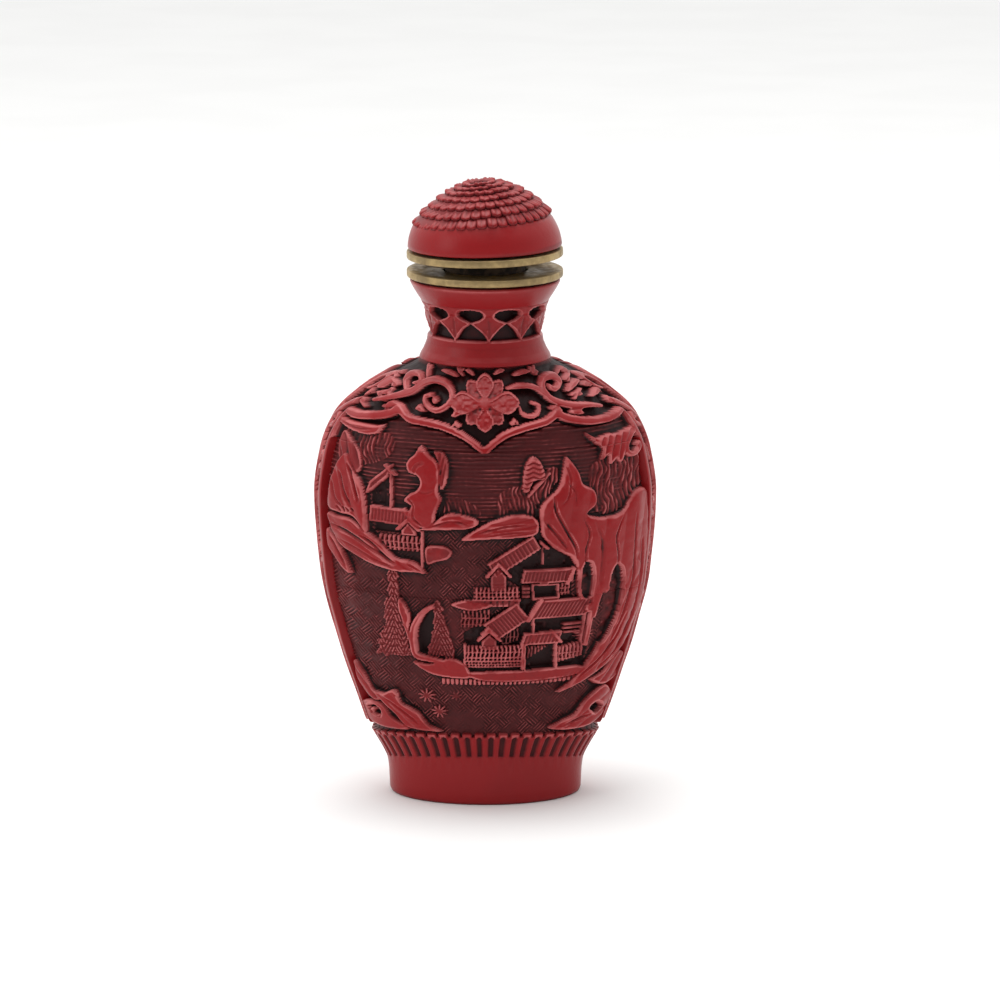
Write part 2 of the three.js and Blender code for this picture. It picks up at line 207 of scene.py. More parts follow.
RED = (0.265, 0.0085, 0.0105, 1)
# Pale red for worn edges and dust, and for the painted highlight and painted sheen on them.
RED_WORN_AND_SHEEN = (0.52, 0.125, 0.125, 1)
RED_DULL = (0.165, 0.0095, 0.0115, 1)
GROUND_BROWN = (0.062, 0.0045, 0.0055, 1)
# Black for painted shade in hollows, undercuts and the deepest cuts.
RECESS_SHADE_BLACK = (0.014, 0.0010, 0.0014, 1)


class Finish:
    """A small hand for laying out a material's nodes."""

    def __init__(self, name):
        self.material = bpy.data.materials.new(name)
        self.material.use_nodes = True
        self.tree = self.material.node_tree
        self.shader = self.tree.nodes["Principled BSDF"]

    def node(self, kind, **settings):
        made = self.tree.nodes.new(kind)
        for name, value in settings.items():
            setattr(made, name, value)
        return made

    def join(self, source, target):
        self.tree.links.new(source, target)

    def attribute(self, name):
        return self.node("ShaderNodeAttribute", attribute_name=name).outputs["Fac"]

    def noise(self, scale, detail=3, rough=0.5, stretch=None):
        place = self.node("ShaderNodeTexCoord").outputs["Object"]
        if stretch:
            mapping = self.node("ShaderNodeMapping")
            mapping.inputs["Scale"].default_value = stretch
            self.join(place, mapping.inputs["Vector"])
            place = mapping.outputs["Vector"]
        made = self.node("ShaderNodeTexNoise")
        made.inputs["Scale"].default_value = scale
        made.inputs["Detail"].default_value = detail
        made.inputs["Roughness"].default_value = rough
        self.join(place, made.inputs["Vector"])
        return made.outputs["Fac"]

    def sum(self, a, b, factor=1.0):
        made = self.node("ShaderNodeMath", operation="MULTIPLY_ADD")
        self.join(b, made.inputs[0])
        made.inputs[1].default_value = factor
        self.join(a, made.inputs[2])
        return made.outputs[0]

    def times(self, a, b):
        made = self.node("ShaderNodeMath", operation="MULTIPLY")
        self.join(a, made.inputs[0])
        self.join(b, made.inputs[1])
        return made.outputs[0]

    def span(self, value, low, high, to_low=0.0, to_high=1.0):
        made = self.node("ShaderNodeMapRange", interpolation_type="SMOOTHSTEP")
        for slot, number in zip(range(1, 5), (low, high, to_low, to_high)):
            made.inputs[slot].default_value = number
        self.join(value, made.inputs[0])
        return made.outputs[0]

    def blend(self, factor, first, second):
        made = self.node("ShaderNodeMix", data_type="RGBA")
        self.join(factor, made.inputs[0])
        for slot, colour in ((6, first), (7, second)):
            if isinstance(colour, tuple):
                made.inputs[slot].default_value = colour
            else:
                self.join(colour, made.inputs[slot])
        return made.outputs[2]

    def bump(self, height, strength, distance):
        made = self.node("ShaderNodeBump")
        made.inputs["Strength"].default_value = strength
        made.inputs["Distance"].default_value = distance
        self.join(height, made.inputs["Height"])
        self.join(made.outputs["Normal"], self.shader.inputs["Normal"])

    def colour(self, socket):
        self.join(socket, self.shader.inputs["Base Color"])

    def roughness(self, socket):
        self.join(socket, self.shader.inputs["Roughness"])


def red_finish(name, dust_sheen_amount=0.35):
    """Red resin: black painted shade in hollows and deep cuts, brown in the ground, dull at middle heights, red on top,
    pale at worn edges with a painted highlight, and paler shoulders from dust and a painted sheen.
    """
    finish = Finish(name)
    height = finish.attribute("height")
    cavity = finish.attribute("cavity")
    edge = finish.attribute("edge")
    cloud = finish.noise(240, 4, 0.6)
    speck = finish.noise(2800, 2, 0.6)
    patch = finish.noise(90, 2, 0.5)
    mottled = finish.sum(finish.sum(height, cloud, 0.10), speck, 0.08)
    # Colour by height, darker toward the ground: black painted shade in the deepest cuts, then brown ground, dull red
    # and red.
    shade = finish.blend(finish.span(mottled, 0.28, 0.46), RECESS_SHADE_BLACK, GROUND_BROWN)
    shade = finish.blend(finish.span(mottled, 0.45, 0.66), shade, RED_DULL)
    shade = finish.blend(finish.span(mottled, 0.70, 0.98), shade, RED)
    shade = finish.blend(finish.span(patch, 0.52, 0.72, 0.0, 0.25), shade, RED_DULL)
    # Painted shade: hollows and undercuts, found from the cavity attribute, are painted black.
    hollow = finish.span(finish.sum(cavity, speck, 0.05), -0.02, -0.26)
    shade = finish.blend(hollow, shade, RECESS_SHADE_BLACK)
    # Upward faces of raised figures are paled by dust and by a painted sheen from the light above.
    facing_up = finish.node("ShaderNodeSeparateXYZ")
    finish.join(finish.node("ShaderNodeNewGeometry").outputs["Normal"], facing_up.inputs[0])
    dust_and_sheen = finish.times(finish.span(facing_up.outputs["Z"], 0.25, 0.9, 0.0, dust_sheen_amount), finish.span(cloud, 0.3, 0.6))
    dust_and_sheen = finish.times(dust_and_sheen, finish.span(height, 0.35, 0.75))
    shade = finish.blend(dust_and_sheen, shade, RED_WORN_AND_SHEEN)
    # Sharp edges are paled partly by wear and partly by a painted highlight.
    worn_and_highlit = finish.times(finish.span(finish.sum(edge, speck, 0.02), 0.03, 0.10), finish.span(cloud, 0.36, 0.58, 0.25, 0.95))
    worn_and_highlit = finish.times(worn_and_highlit, finish.span(height, 0.32, 0.72, 0.25, 1.0))
    finish.colour(finish.blend(worn_and_highlit, shade, RED_WORN_AND_SHEEN))
    finish.roughness(finish.span(finish.sum(height, speck, -0.35), 0.1, 0.8, 0.55, 0.30))
    finish.shader.inputs["Specular IOR Level"].default_value = 0.2
    finish.bump(finish.sum(cloud, speck, 0.5), 0.3, 0.00012)
    return finish.material


RED_CARVED = red_finish("red_resin_carved")


# ---- Cutting tools -----------------------------------------------------------------------------------------------
# What a mould-maker does to the ground: raise a figure with softened edges, lay a strip, cut a groove, and cover a
# surface with lines, hatching, tiles or leaves.

def flow(points, step=0.35, closed=False):
    """A smooth curve through a few points."""
    points = np.asarray(points, float)
    if closed:
        ring = np.vstack([points[-1:], points, points[:2]])
    else:
        ring = np.vstack([2 * points[0] - points[1], points, 2 * points[-1] - points[-2]])
    made = []
    for p0, p1, p2, p3 in zip(ring[:-3], ring[1:-2], ring[2:-1], ring[3:]):
        count = max(2, int(np.hypot(*(p2 - p1)) / step))
        for t in np.arange(count) / count:
            made.append(0.5 * (2 * p1 + (p2 - p0) * t + (2 * p0 - 5 * p1 + 4 * p2 - p3) * t * t
                               + (3 * p1 - p0 - 3 * p2 + p3) * t ** 3))
    if not closed:
        made.append(points[-1])
    return np.array(made)


def turned(start, centre, radius, begin, sweep, shrink=0.55, count=14):
    """A path that arrives from a point and winds into a curl."""
    t = np.linspace(0, 1, count)
    r = radius * (1 - shrink * t)
    angle = begin + sweep * t
    curl = np.stack([centre[0] + r * np.cos(angle), centre[1] + r * np.sin(angle)], axis=-1)
    return np.vstack([np.atleast_2d(start), curl]) if len(start) else curl


def to_segments(s, z, points, closed):
    """Distance from each place to a line of points, how far along it is nearest, and whether it is inside."""
    ends = np.roll(points, -1, axis=0) if closed else points[1:]
    starts = points if closed else points[:-1]
    best = np.full(s.shape, 1e9)
    along = np.zeros(s.shape)
    inside = np.zeros(s.shape, bool)
    count = len(starts)
    for k, (p, q) in enumerate(zip(starts, ends)):
        ds, dz = q - p
        length = ds * ds + dz * dz + 1e-12
        t = np.clip(((s - p[0]) * ds + (z - p[1]) * dz) / length, 0, 1)
        gap = np.hypot(s - p[0] - t * ds, z - p[1] - t * dz)
        nearer = gap < best
        best = np.where(nearer, gap, best)
        along = np.where(nearer, (k + t) / count, along)
        if closed and dz:
            crosses = ((p[1] > z) != (q[1] > z)) & (s < p[0] + (z - p[1]) / dz * ds)
            inside ^= crosses
    return best, along, inside


class Carving:
    """A side of the vessel under the chisel."""

    def __init__(self, s, z, lift, seen):
        self.s, self.z, self.lift, self.seen = s, z, lift, seen

    def near(self, points, reach):
        low, high = points.min(axis=0) - reach, points.max(axis=0) + reach
        return np.nonzero(self.seen & (self.s > low[0]) & (self.s < high[0]) & (self.z > low[1]) & (self.z < high[1]))

    def raise_figure(self, outline, top=-0.1, edge=0.22, crown=0.0, texture=None, smooth=True, sink=False):
        """A figure that stands on the ground with a softened edge, and that may swell toward its middle."""
        points = flow(outline, closed=True) if smooth else np.asarray(outline, float)
        spot = self.near(points, 0)
        s, z = self.s[spot], self.z[spot]
        gap, _, inside = to_segments(s, z, points, True)
        rounding = np.clip(1 - gap / edge, 0, 1)
        height = top - edge * (1 - np.sqrt(1 - rounding ** 2)) + crown * (1 - np.exp(-gap / 0.8))
        if texture is not None:
            height = height + texture(s, z, gap)
        old = self.lift[spot]
        self.lift[spot] = np.where(inside, height if sink else np.maximum(old, height), old)

    def lay_strip(self, path, width, top=-0.1, round_top=0.25, ends=(1.0, 1.0), smooth=True, sink=False):
        """A raised band along a path, narrowing toward its ends."""
        points = flow(path) if smooth else np.asarray(path, float)
        spot = self.near(points, width)
        gap, along, _ = to_segments(self.s[spot], self.z[spot], points, False)
        half = width / 2 * np.interp(along, (0, 0.25, 0.75, 1), (ends[0], 1, 1, ends[1]))
        share = np.clip(gap / half, 0, 1)
        height = top - round_top * share ** 3
        old = self.lift[spot]
        self.lift[spot] = np.where(gap < half, height if sink else np.maximum(old, height), old)

    def cut_groove(self, path, width, depth, smooth=True):
        """A groove along a path, fading at both ends."""
        points = flow(path) if smooth else np.asarray(path, float)
        spot = self.near(points, width)
        gap, along, _ = to_segments(self.s[spot], self.z[spot], points, False)
        fade = np.clip(np.minimum(along, 1 - along) * 5, 0, 1) ** 0.6
        half = width / 2 * (0.35 + 0.65 * fade)
        self.lift[spot] -= depth * fade * np.clip(1 - gap / half, 0, 1) ** 0.8


def tiles(corner, eave, pitch=0.45, depth=0.16, lean=(0.0, 1.0)):
    """Rows of tiles that run down a slope, from the direction of its eave and of its fall."""
    eave, lean = np.asarray(eave, float), np.asarray(lean, float)
    across = eave[0] * lean[1] - eave[1] * lean[0]

    def texture(s, z, gap):
        u = ((s - corner[0]) * lean[1] - (z - corner[1]) * lean[0]) / across * np.hypot(*eave)
        wave = np.abs(np.cos(math.pi * u / pitch))
        return -depth * (1 - wave) ** 1.2 * (gap > 0.16)
    return texture


def pickets(pitch=0.56, depth=0.45, rail=None, bottom=0.0):
    """Upright pales with gaps between them, held by a rail."""
    def texture(s, z, gap):
        wave = np.cos(2 * math.pi * (s + 0.06 * np.sin(3 * z)) / pitch)
        pale = np.clip((wave + 0.25) * 2.2, 0, 1)
        if rail is not None:
            for level in rail:
                pale = np.maximum(pale, np.clip(1.5 - np.abs(z - level) / 0.11, 0, 1))
        return -depth * (1 - pale)
    return texture


def needles(foot, top, width, seed):
    """A cypress's foliage: thin leaves that hang away from its stem."""
    def texture(s, z, gap):
        climb = (z - foot[1]) / (top[1] - foot[1])
        out = s - (foot[0] + (top[0] - foot[0]) * climb) + 0.10 * lattice(s, z, 1.1, seed)
        hand = np.sign(np.sin(math.pi * out / 0.62 + 0.8 * lattice(s * 0.6, z, 1.2, seed + 1)))
        hand = np.where(np.abs(out) < 0.7, -np.sign(out), hand)
        stroke = np.sin(2 * math.pi * (out * 0.9 - hand * z * 0.42) / 0.36 * 1.0)
        cut = 0.35 + 0.65 * (np.sin(math.pi * (z + hand * 0.4) / 0.42 + 2 * lattice(s, z, 0.5, seed + 2)) > -0.5)
        ragged = np.clip((gap + 0.35 * lattice(s, z, 0.55, seed + 3) - 0.12) / 0.1, 0, 1)
        return (0.32 * np.clip(stroke + 0.2, 0, 1) * cut - 0.34) * 1.0 - 1.2 * (1 - ragged)
    return texture


def bark(angle, pitch, depth, seed):
    """Folds in rock that run along one direction."""
    c, n = math.cos(angle), math.sin(angle)

    def texture(s, z, gap):
        along, across = s * c + z * n, -s * n + z * c
        wander = across + 0.35 * lattice(along * 0.4, across, 1.2, seed)
        ridge = np.abs(np.sin(math.pi * wander / pitch))
        return depth * (ridge - 0.7) * np.clip(gap / 0.3, 0, 1) + 0.05 * lattice(s, z, 0.7, seed + 1)
    return texture


def plain_grain(amount=0.04, seed=5):
    return lambda s, z, gap: amount * lattice(s, z, 0.8, seed) + amount * 0.6 * lattice(s, z, 0.35, seed + 1)


def sky_lines(s, z):
    """Fine level lines, as on a calm sky."""
    wander = 0.22 * lattice(s * 0.25, z, 0.9, 11) + 0.06 * lattice(s, z, 0.6, 12)
    wave = 0.5 + 0.5 * np.cos(2 * math.pi * (z + wander * 0.46) / 0.47)
    broken = np.clip(0.75 + 0.7 * lattice(s * 0.3, z * 1.4, 0.7, 13), 0, 1.3)
    return GROUND + 0.03 * lattice(s, z, 0.4, 14) + 0.17 * wave ** 2 * broken


def water_hatch(s, z):
    """A diaper of small hatched lozenges, as on still water."""
    p, q = (s + z) / math.sqrt(2), (s - z) / math.sqrt(2)
    p, q = p + 0.08 * lattice(s, z, 1.5, 21), q + 0.08 * lattice(s, z, 1.5, 22)
    size = 1.42
    odd = (np.floor(p / size) + np.floor(q / size)) % 2 > 0.5
    wave = np.where(odd, np.cos(2 * math.pi * p / (size / 4)), np.cos(2 * math.pi * q / (size / 4)))
    worn = np.clip(0.75 + 0.7 * lattice(s, z, 1.1, 23), 0.1, 1.4)
    return GROUND + 0.03 + 0.10 * wave * worn + 0.05 * lattice(s, z, 0.5, 24)


def sides_of(angles, heights):
    """Each side's own coordinates over a grid: front, right, back and left."""
    turn, z = np.meshgrid(angles, heights)
    a, b = body_size(z)
    across, toward = a * np.sin(turn), b * np.cos(turn)
    return z, {
        "front": (across, np.cos(turn) > 0.2), "back": (-across, np.cos(turn) < -0.2),
        "right": (-toward, np.sin(turn) > 0.7), "left": (toward, np.sin(turn) < -0.7),
    }


# ---- The front scene ---------------------------------------------------------------------------------------------
# A traditional lake landscape, moulded with the body: cliffs at both sides, a beaked rock and islands under a ruled
# sky, and a walled village, cypresses and low rocks on hatched water.

FRONT_REACH = math.radians(73)
SEAM_Z = 26.9
COLLAR_Z = 44.9


def roof(c, corner, eave, rise, top=-0.5, pitch=0.45, ridge=0.28):
    """A tiled slope with a raised ridge and rims."""
    corner, eave, rise = np.array(corner, float), np.array(eave, float), np.array(rise, float)
    outline = [corner, corner + eave, corner + eave + rise, corner + rise]
    c.raise_figure(outline, top, 0.08, texture=tiles(corner, eave, pitch, 0.2, rise), smooth=False)
    c.lay_strip([corner + rise, corner + eave + rise], ridge, top + 0.1, 0.08, smooth=False)
    for start in (corner, corner + eave):
        c.lay_strip([start, start + rise], ridge * 0.8, top + 0.06, 0.06, smooth=False)
    c.lay_strip([corner, corner + eave], ridge * 0.6, top + 0.02, 0.05, smooth=False)


def gabled_house(c, s, z, width, height, peak, top=-0.3):
    """A gable wall under the two boards of its roof."""
    apex = (s + width / 2, z + height + peak)
    c.raise_figure([(s, z), (s + width, z), (s + width, z + height), apex, (s, z + height)], top - 0.12, 0.08,
                   texture=plain_grain(0.03, 31), smooth=False)
    c.cut_groove([(s + 0.1, z + height * 0.5), (s + width - 0.1, z + height * 0.5)], 0.2, 0.12, smooth=False)
    eaves = 0.42
    low = (s - eaves, z + height - eaves * peak / width), (s + width + eaves, z + height - eaves * peak / width)
    gap = np.array([0, 0.34])
    for end in low:
        c.cut_groove([end, apex], 0.3, 0.4, smooth=False)
        c.lay_strip([np.array(end) + gap, np.array(apex) + gap], 0.42, top + 0.12, 0.08, smooth=False)


def dark_room(c, s, z, width, height, depth=DEEP + 0.1):
    """An opening into the dark under a roof."""
    c.raise_figure([(s, z), (s + width, z), (s + width, z + height), (s, z + height)], depth, 0.05, smooth=False, sink=True)


def fence(c, s, z, length, height, slope=0.0, top=-0.55, pitch=0.56):
    """Pales on two rails."""
    outline = [(s, z), (s + length, z + slope), (s + length, z + slope + height), (s, z + height)]
    c.raise_figure(outline, top, 0.05, texture=pickets(pitch, 0.5, (z + height * 0.18, z + height * 0.55)),
                   smooth=False)


def post(c, s, low, high, width=0.3, top=-0.4):
    c.lay_strip([(s, low), (s, high)], width, top, 0.06, smooth=False)


def cypress(c, foot, top, width, seed, lift=-0.5):
    """A tall cypress, ragged at its edge."""
    foot, top = np.array(foot, float), np.array(top, float)
    outline = []
    for share, reach in ((0, 0.9), (0.06, 1.05), (0.2, 0.92), (0.38, 0.66), (0.6, 0.46), (0.8, 0.36), (0.93, 0.3)):
        outline.append(foot + (top - foot) * share + (width / 2 * reach, 0))
    outline.append(top)
    for share, reach in ((0.93, 0.3), (0.8, 0.36), (0.6, 0.46), (0.38, 0.66), (0.2, 0.92), (0.06, 1.05), (0, 0.9)):
        outline.append(foot + (top - foot) * share - (width / 2 * reach, 0))
    c.raise_figure(outline, lift, 0.15, texture=needles(foot, top, width, seed))


def far_trees(c, outline, seed, top=-0.8):
    """A distant wood: low ragged strokes."""
    def texture(s, z, gap):
        lean = s + 0.25 * np.sin(1.3 * z) + 0.2 * lattice(s, z, 0.9, seed)
        stroke = np.abs(np.sin(math.pi * lean / 0.5)) * (0.6 + 0.5 * lattice(s * 1.3, z * 0.6, 0.6, seed + 1))
        return -0.3 + 0.42 * stroke
    c.raise_figure(outline, top, 0.1, texture=texture)


def grass_star(c, s, z, reach=0.9, blades=7, top=-0.85):
    """A tuft of grass, its blades in a star."""
    for k in range(blades):
        angle = 2 * math.pi * (k + 0.3) / blades
        tip = (s + reach * math.cos(angle), z + reach * 0.8 * math.sin(angle))
        c.lay_strip([(s, z), tip], 0.24, top, 0.1, (1, 0.3), smooth=False)


def left_cliffs(c):
    """Overhanging leaves, a tall crag and two long tongues of rock at the left."""
    far_trees(c, [(-17.2, 46.2), (-14.2, 46.6), (-11.7, 46.4), (-11.3, 45), (-12.4, 43.6), (-14.8, 42.6), (-17, 42.4)], 41)
    c.raise_figure([(-17.4, 46.1), (-16.2, 45), (-15.3, 43.6), (-15.6, 41.6), (-17.4, 41.6), (-18.2, 44)], -0.5,
                   texture=bark(1.9, 0.9, 0.3, 43))
    c.raise_figure([(-18.3, 47.4), (-15.7, 47.3), (-13.4, 47.3), (-12.3, 47.5), (-12.9, 46.6), (-14.2, 46.2), (-16, 46.3),
                    (-17.6, 46.8)], -0.16, 0.2, 0.1)
    c.cut_groove([(-17.2, 47), (-15.4, 46.7), (-13.6, 46.9)], 0.3, 0.22)
    c.raise_figure([(-16.9, 43.6), (-16.1, 41.8), (-15.2, 40.6), (-14.7, 39), (-14.4, 34.6), (-16, 36.2), (-17.8, 36.4),
                    (-19.2, 36.9), (-19, 39.6), (-18, 42.4)], -0.12, 0.3, 0.12, bark(1.75, 1.5, 0.2, 44))
    c.cut_groove([(-16.7, 42.6), (-15.9, 40.4), (-15.2, 38)], 0.5, 0.5)
    c.cut_groove([(-17.6, 41.6), (-17, 39), (-16.2, 37.4)], 0.55, 0.4)
    c.cut_groove([(-18.6, 40.4), (-18.2, 38.4), (-17.2, 37)], 0.4, 0.3)
    for k in range(4):
        c.cut_groove([(-17.9 + 0.55 * k, 37.3), (-17.4 + 0.5 * k, 36.6 + 0.1 * k)], 0.3, 0.5)
    c.raise_figure([(-19.3, 35.9), (-18, 36), (-16.4, 35.9), (-14.8, 34.9), (-13.1, 33.9), (-10.9, 31.9), (-8.6, 31.5),
                    (-7.2, 30.1), (-8.6, 30.2), (-10.6, 30.1), (-13.4, 30.6), (-16, 31.6), (-18, 32.8)], -0.1, 0.34, 0.1,
                   bark(-0.62, 1.5, 0.16, 46))
    c.cut_groove([(-18.8, 34.9), (-16, 34), (-13.6, 32.6), (-11.4, 31.4)], 0.55, 0.45)
    c.cut_groove([(-15.2, 34.2), (-13.4, 33), (-11.8, 31.6), (-10.6, 31.1)], 0.62, 0.55)
    c.cut_groove([(-17.6, 33.2), (-15.4, 32.4), (-13, 31.2), (-10.8, 30.6)], 0.4, 0.25)
    c.cut_groove([(-9.4, 31.3), (-8.2, 30.7), (-7.4, 30.2)], 0.3, 0.22)
    c.raise_figure([(-19.4, 34), (-18.2, 32.8), (-17.2, 31), (-16.5, 29), (-17.4, 29.4), (-18.6, 30.8), (-19.4, 32)], -0.2, 0.3)
    c.cut_groove([(-19, 33.2), (-17.8, 31.2), (-17, 29.8)], 0.4, 0.35)


def left_houses(c):
    """A lean-to on a post, a long roof with its gable, and a fenced bank."""
    c.raise_figure([(-14.3, 40.4), (-12.2, 42), (-11.4, 41.2), (-11.3, 37.6), (-14.2, 37.8)], DEEP + 0.25, 0.05, smooth=False,
                   sink=True, texture=lambda s, z, gap: 0.22 * np.abs(lattice(s, z, 0.5, 47)))
    roof(c, (-14.5, 39.4), (2.5, 2.2), (0.5, 1.3), -0.45, 0.4)
    c.lay_strip([(-12.2, 42.9), (-11, 41.9)], 0.36, -0.3, 0.08, smooth=False)
    post(c, -11.5, 37.6, 42.1)
    dark_room(c, -13.9, 34.8, 3.7, 1.3)
    roof(c, (-14, 36.1), (4.6, -0.15), (0.15, 1.75), -0.35, 0.42)
    gabled_house(c, -10.2, 34.7, 1.7, 0.6, 1.0, -0.3)
    c.lay_strip([(-9.8, 37.8), (-8, 35.5)], 0.5, -0.25, 0.1, smooth=False)
    fence(c, -13.3, 32.7, 5.5, 1.9, 0.0, -0.6)
    post(c, -7.7, 30.5, 35.2, 0.32)
    c.raise_figure([(-7.3, 33.3), (-5.4, 33.6), (-4.1, 33), (-4.5, 32), (-6.2, 31.5), (-7.2, 31.2)], -0.55, 0.3, 0.1,
                   plain_grain(0.09, 48))


def beaked_rock(c):
    """A tall smooth rock with a beak at its top."""
    c.raise_figure([(-6.3, 44.9), (-5.3, 44.9), (-4.6, 44), (-4.5, 42.6), (-4.8, 41), (-5.5, 40.4), (-5.6, 42.4), (-5.8, 43.8)],
                   -0.42, 0.2, texture=bark(1.4, 0.6, 0.2, 51))
    c.raise_figure([(-7.9, 45.5), (-7.3, 45.1), (-6.6, 44.4), (-6, 44), (-5.6, 43.2), (-5.5, 41.5), (-5.7, 40.3), (-5.3, 39.3),
                    (-5.9, 37.8), (-6.1, 36.6), (-7.2, 35.7), (-8.8, 36.3), (-9.3, 37.4), (-8.9, 38.4), (-9.8, 38.9), (-9.2, 39.7),
                    (-8.2, 40.3), (-7.8, 41.2), (-8.2, 42), (-9.2, 42.3), (-9.5, 43.3), (-8.9, 44.2), (-8.4, 44.6)],
                   -0.1, 0.24, 0.12, plain_grain(0.035, 52))
    c.cut_groove([(-9.3, 39.4), (-8.6, 38.4), (-8.6, 37), (-7.4, 35.9)], 0.22, 0.3)
    c.cut_groove([(-8, 40.2), (-7, 40), (-6, 40.4)], 0.25, 0.12)
    c.cut_groove([(-8.6, 42.2), (-8.2, 43.2), (-7.2, 43.6)], 0.5, 0.22)


def middle_islands(c):
    """Two low islands, woods behind them, and a layered rock with a pine."""
    far_trees(c, [(-5.8, 39.8), (-3.6, 39.6), (-1, 38.4), (-0.6, 37.2), (-3, 36.8), (-5.6, 37)], 61)
    far_trees(c, [(1.8, 39.8), (4, 40.8), (6, 39.8), (6.6, 37.6), (5.6, 36.6), (2, 36.8)], 63)
    far_trees(c, [(5.2, 39.6), (8, 42.8), (9.4, 42.2), (8.4, 40.4), (7, 38.6)], 65, -0.7)
    for reach in range(3):
        c.lay_strip([(5.4 + 0.3 * reach, 39.6 + 0.5 * reach), (7.2 + 0.4 * reach, 41.4 + 0.4 * reach)], 0.3, -0.5)
    layers = lambda s, z, gap: -0.2 * np.clip(np.cos(2 * math.pi * (z + 0.12 * np.sin(4 * s)) / 0.55), 0, 1)
    c.raise_figure([(4.7, 40.2), (4.7, 42), (5.1, 43.6), (5.9, 44.3), (6.7, 43.9), (7.3, 42.6), (7.3, 41.6), (6, 41.4),
                    (5.4, 40.2)], -0.3, 0.3, texture=layers)
    grain = bark(0.12, 0.75, 0.16, 67)
    c.raise_figure([(-7.9, 35.5), (-6.4, 36.3), (-4.4, 37.6), (-1.6, 37.2), (-0.7, 36.5), (-2, 35.8), (-4.6, 35.6)], -0.18, 0.26,
                   0.08, grain)
    c.raise_figure([(-2.9, 34.4), (-0.6, 36), (1.4, 36.9), (3.8, 37.5), (6, 37.1), (6.6, 36), (6, 34.9), (3, 34.6), (0, 34.5)],
                   -0.16, 0.26, 0.08, grain)
    c.cut_groove([(-6.4, 36), (-4, 36.7), (-2, 36.3)], 0.3, 0.25)
    c.cut_groove([(-1, 35.2), (2, 36), (5, 36.3)], 0.3, 0.28)
    c.cut_groove([(0, 34.9), (3, 35.3), (5.6, 35.4)], 0.3, 0.2)


def right_mountain(c):
    """The tall mountain at the right, its folds running down past the village into one long point."""
    far_trees(c, [(13.2, 42.4), (16, 43.6), (18.6, 43.8), (19.4, 40), (17.6, 37.4), (15, 36.6), (13.4, 38)], 71, -0.75)
    c.raise_figure([(9.9, 44), (10.8, 43.2), (11.6, 41.9), (12, 40.7), (13.4, 39.8), (13.6, 38.2), (12.5, 37.1), (13.3, 36.7),
                    (14.8, 36.4), (16.9, 36.8), (18.4, 38.9), (19.9, 38.4), (20.1, 33), (19.6, 27), (18.6, 26.6),
                    (16.6, 27), (15.7, 25.4), (14.6, 27), (13.4, 23.8), (12.9, 27.4), (11.7, 26.4), (11.3, 29.8),
                    (10.6, 31.8), (8.7, 33), (6.9, 35), (6.7, 38), (7.6, 39.2), (8.8, 40.3), (9.4, 42)],
                   -0.22, 0.4, 0.2, bark(1.42, 2.3, 0.16, 72))
    c.raise_figure([(16.4, 30.4), (19, 30), (19.4, 26), (18.4, 22), (16.2, 18.4), (13.2, 16.2), (8.9, 14.5), (10.6, 15.9),
                    (12.4, 17.9), (14, 20.4), (15.2, 23.4), (16.2, 27)], -0.1, 0.32, 0.12, bark(1.15, 1.3, 0.14, 74))
    folds = (
        ([(9.6, 43.4), (10.3, 41.6), (10.1, 39.4), (9.2, 38.4)], 0.3, 0.2),
        ([(8.4, 39.6), (8.6, 37.6), (9.6, 35.6), (10.9, 33.2), (11.2, 31.6)], 0.45, 0.4),
        ([(7.2, 36.6), (8.6, 34.9), (10, 33)], 0.5, 0.35),
        ([(11.7, 36.9), (12.6, 34.8), (12.2, 32.2), (12.5, 28.2)], 0.3, 0.25),
        ([(13.2, 36.4), (14.2, 33.4), (14.2, 30.6), (13.9, 27.4)], 0.6, 0.22),
        ([(16.9, 36.4), (15.9, 33.8), (16.1, 31), (15.4, 28), (14.6, 25.2)], 0.35, 0.35),
        ([(18.3, 36.4), (18.2, 32.4), (17.9, 28), (16.8, 24), (15.2, 20.4)], 0.4, 0.4),
        ([(19.2, 33), (18.9, 28), (17.9, 23.4), (16, 19.4), (13.4, 17)], 0.4, 0.4),
        ([(17.2, 24), (15.8, 20.8), (13.8, 18.4), (11.2, 16.2)], 0.35, 0.35),
        ([(16.8, 19.4), (14.6, 17.2), (11.6, 15.6)], 0.3, 0.3),
        ([(9.9, 41.2), (10.9, 39.8), (11, 38.2)], 0.25, 0.15),
    )
    for path, width, depth in folds:
        c.cut_groove(path, width, depth)
    c.raise_figure([(11.9, 27), (11.8, 29.4), (12.1, 30.9), (12.7, 31.1), (13.1, 30), (13.2, 28.4), (12.9, 26.6)], GROUND + 0.1, 0.1, sink=True,
                   texture=plain_grain(0.12, 75))
    c.raise_figure([(15, 26.4), (15.2, 28.8), (15.7, 30.2), (16.4, 30.2), (16.8, 28.8), (16.7, 26), (15.8, 23), (14.4, 20.6), (14.1, 20.9),
                    (14.8, 23.6)], GROUND + 0.1, 0.1, sink=True, texture=plain_grain(0.12, 77))


def right_leaves(c):
    """A scroll and hanging leaves under the collar at the right."""
    c.raise_figure([(12.3, 46.6), (13.6, 45.9), (14.8, 46.1), (16.6, 46.1), (18.4, 46.4), (18.8, 45.6), (17.4, 45.2), (17.1, 43.9),
                    (16.6, 42.6), (16, 43.2), (15.4, 42.6), (15, 43.8), (14.3, 43.2), (14.4, 44.6), (13.6, 45.2)], -0.2, 0.24, 0.08,
                   bark(1.4, 0.8, 0.3, 79))
    c.lay_strip(turned([(18.9, 46.2), (17.9, 45.6)], (18.2, 44.1), 1.1, 2.3, 4.4, 0.5), 0.62, -0.08)


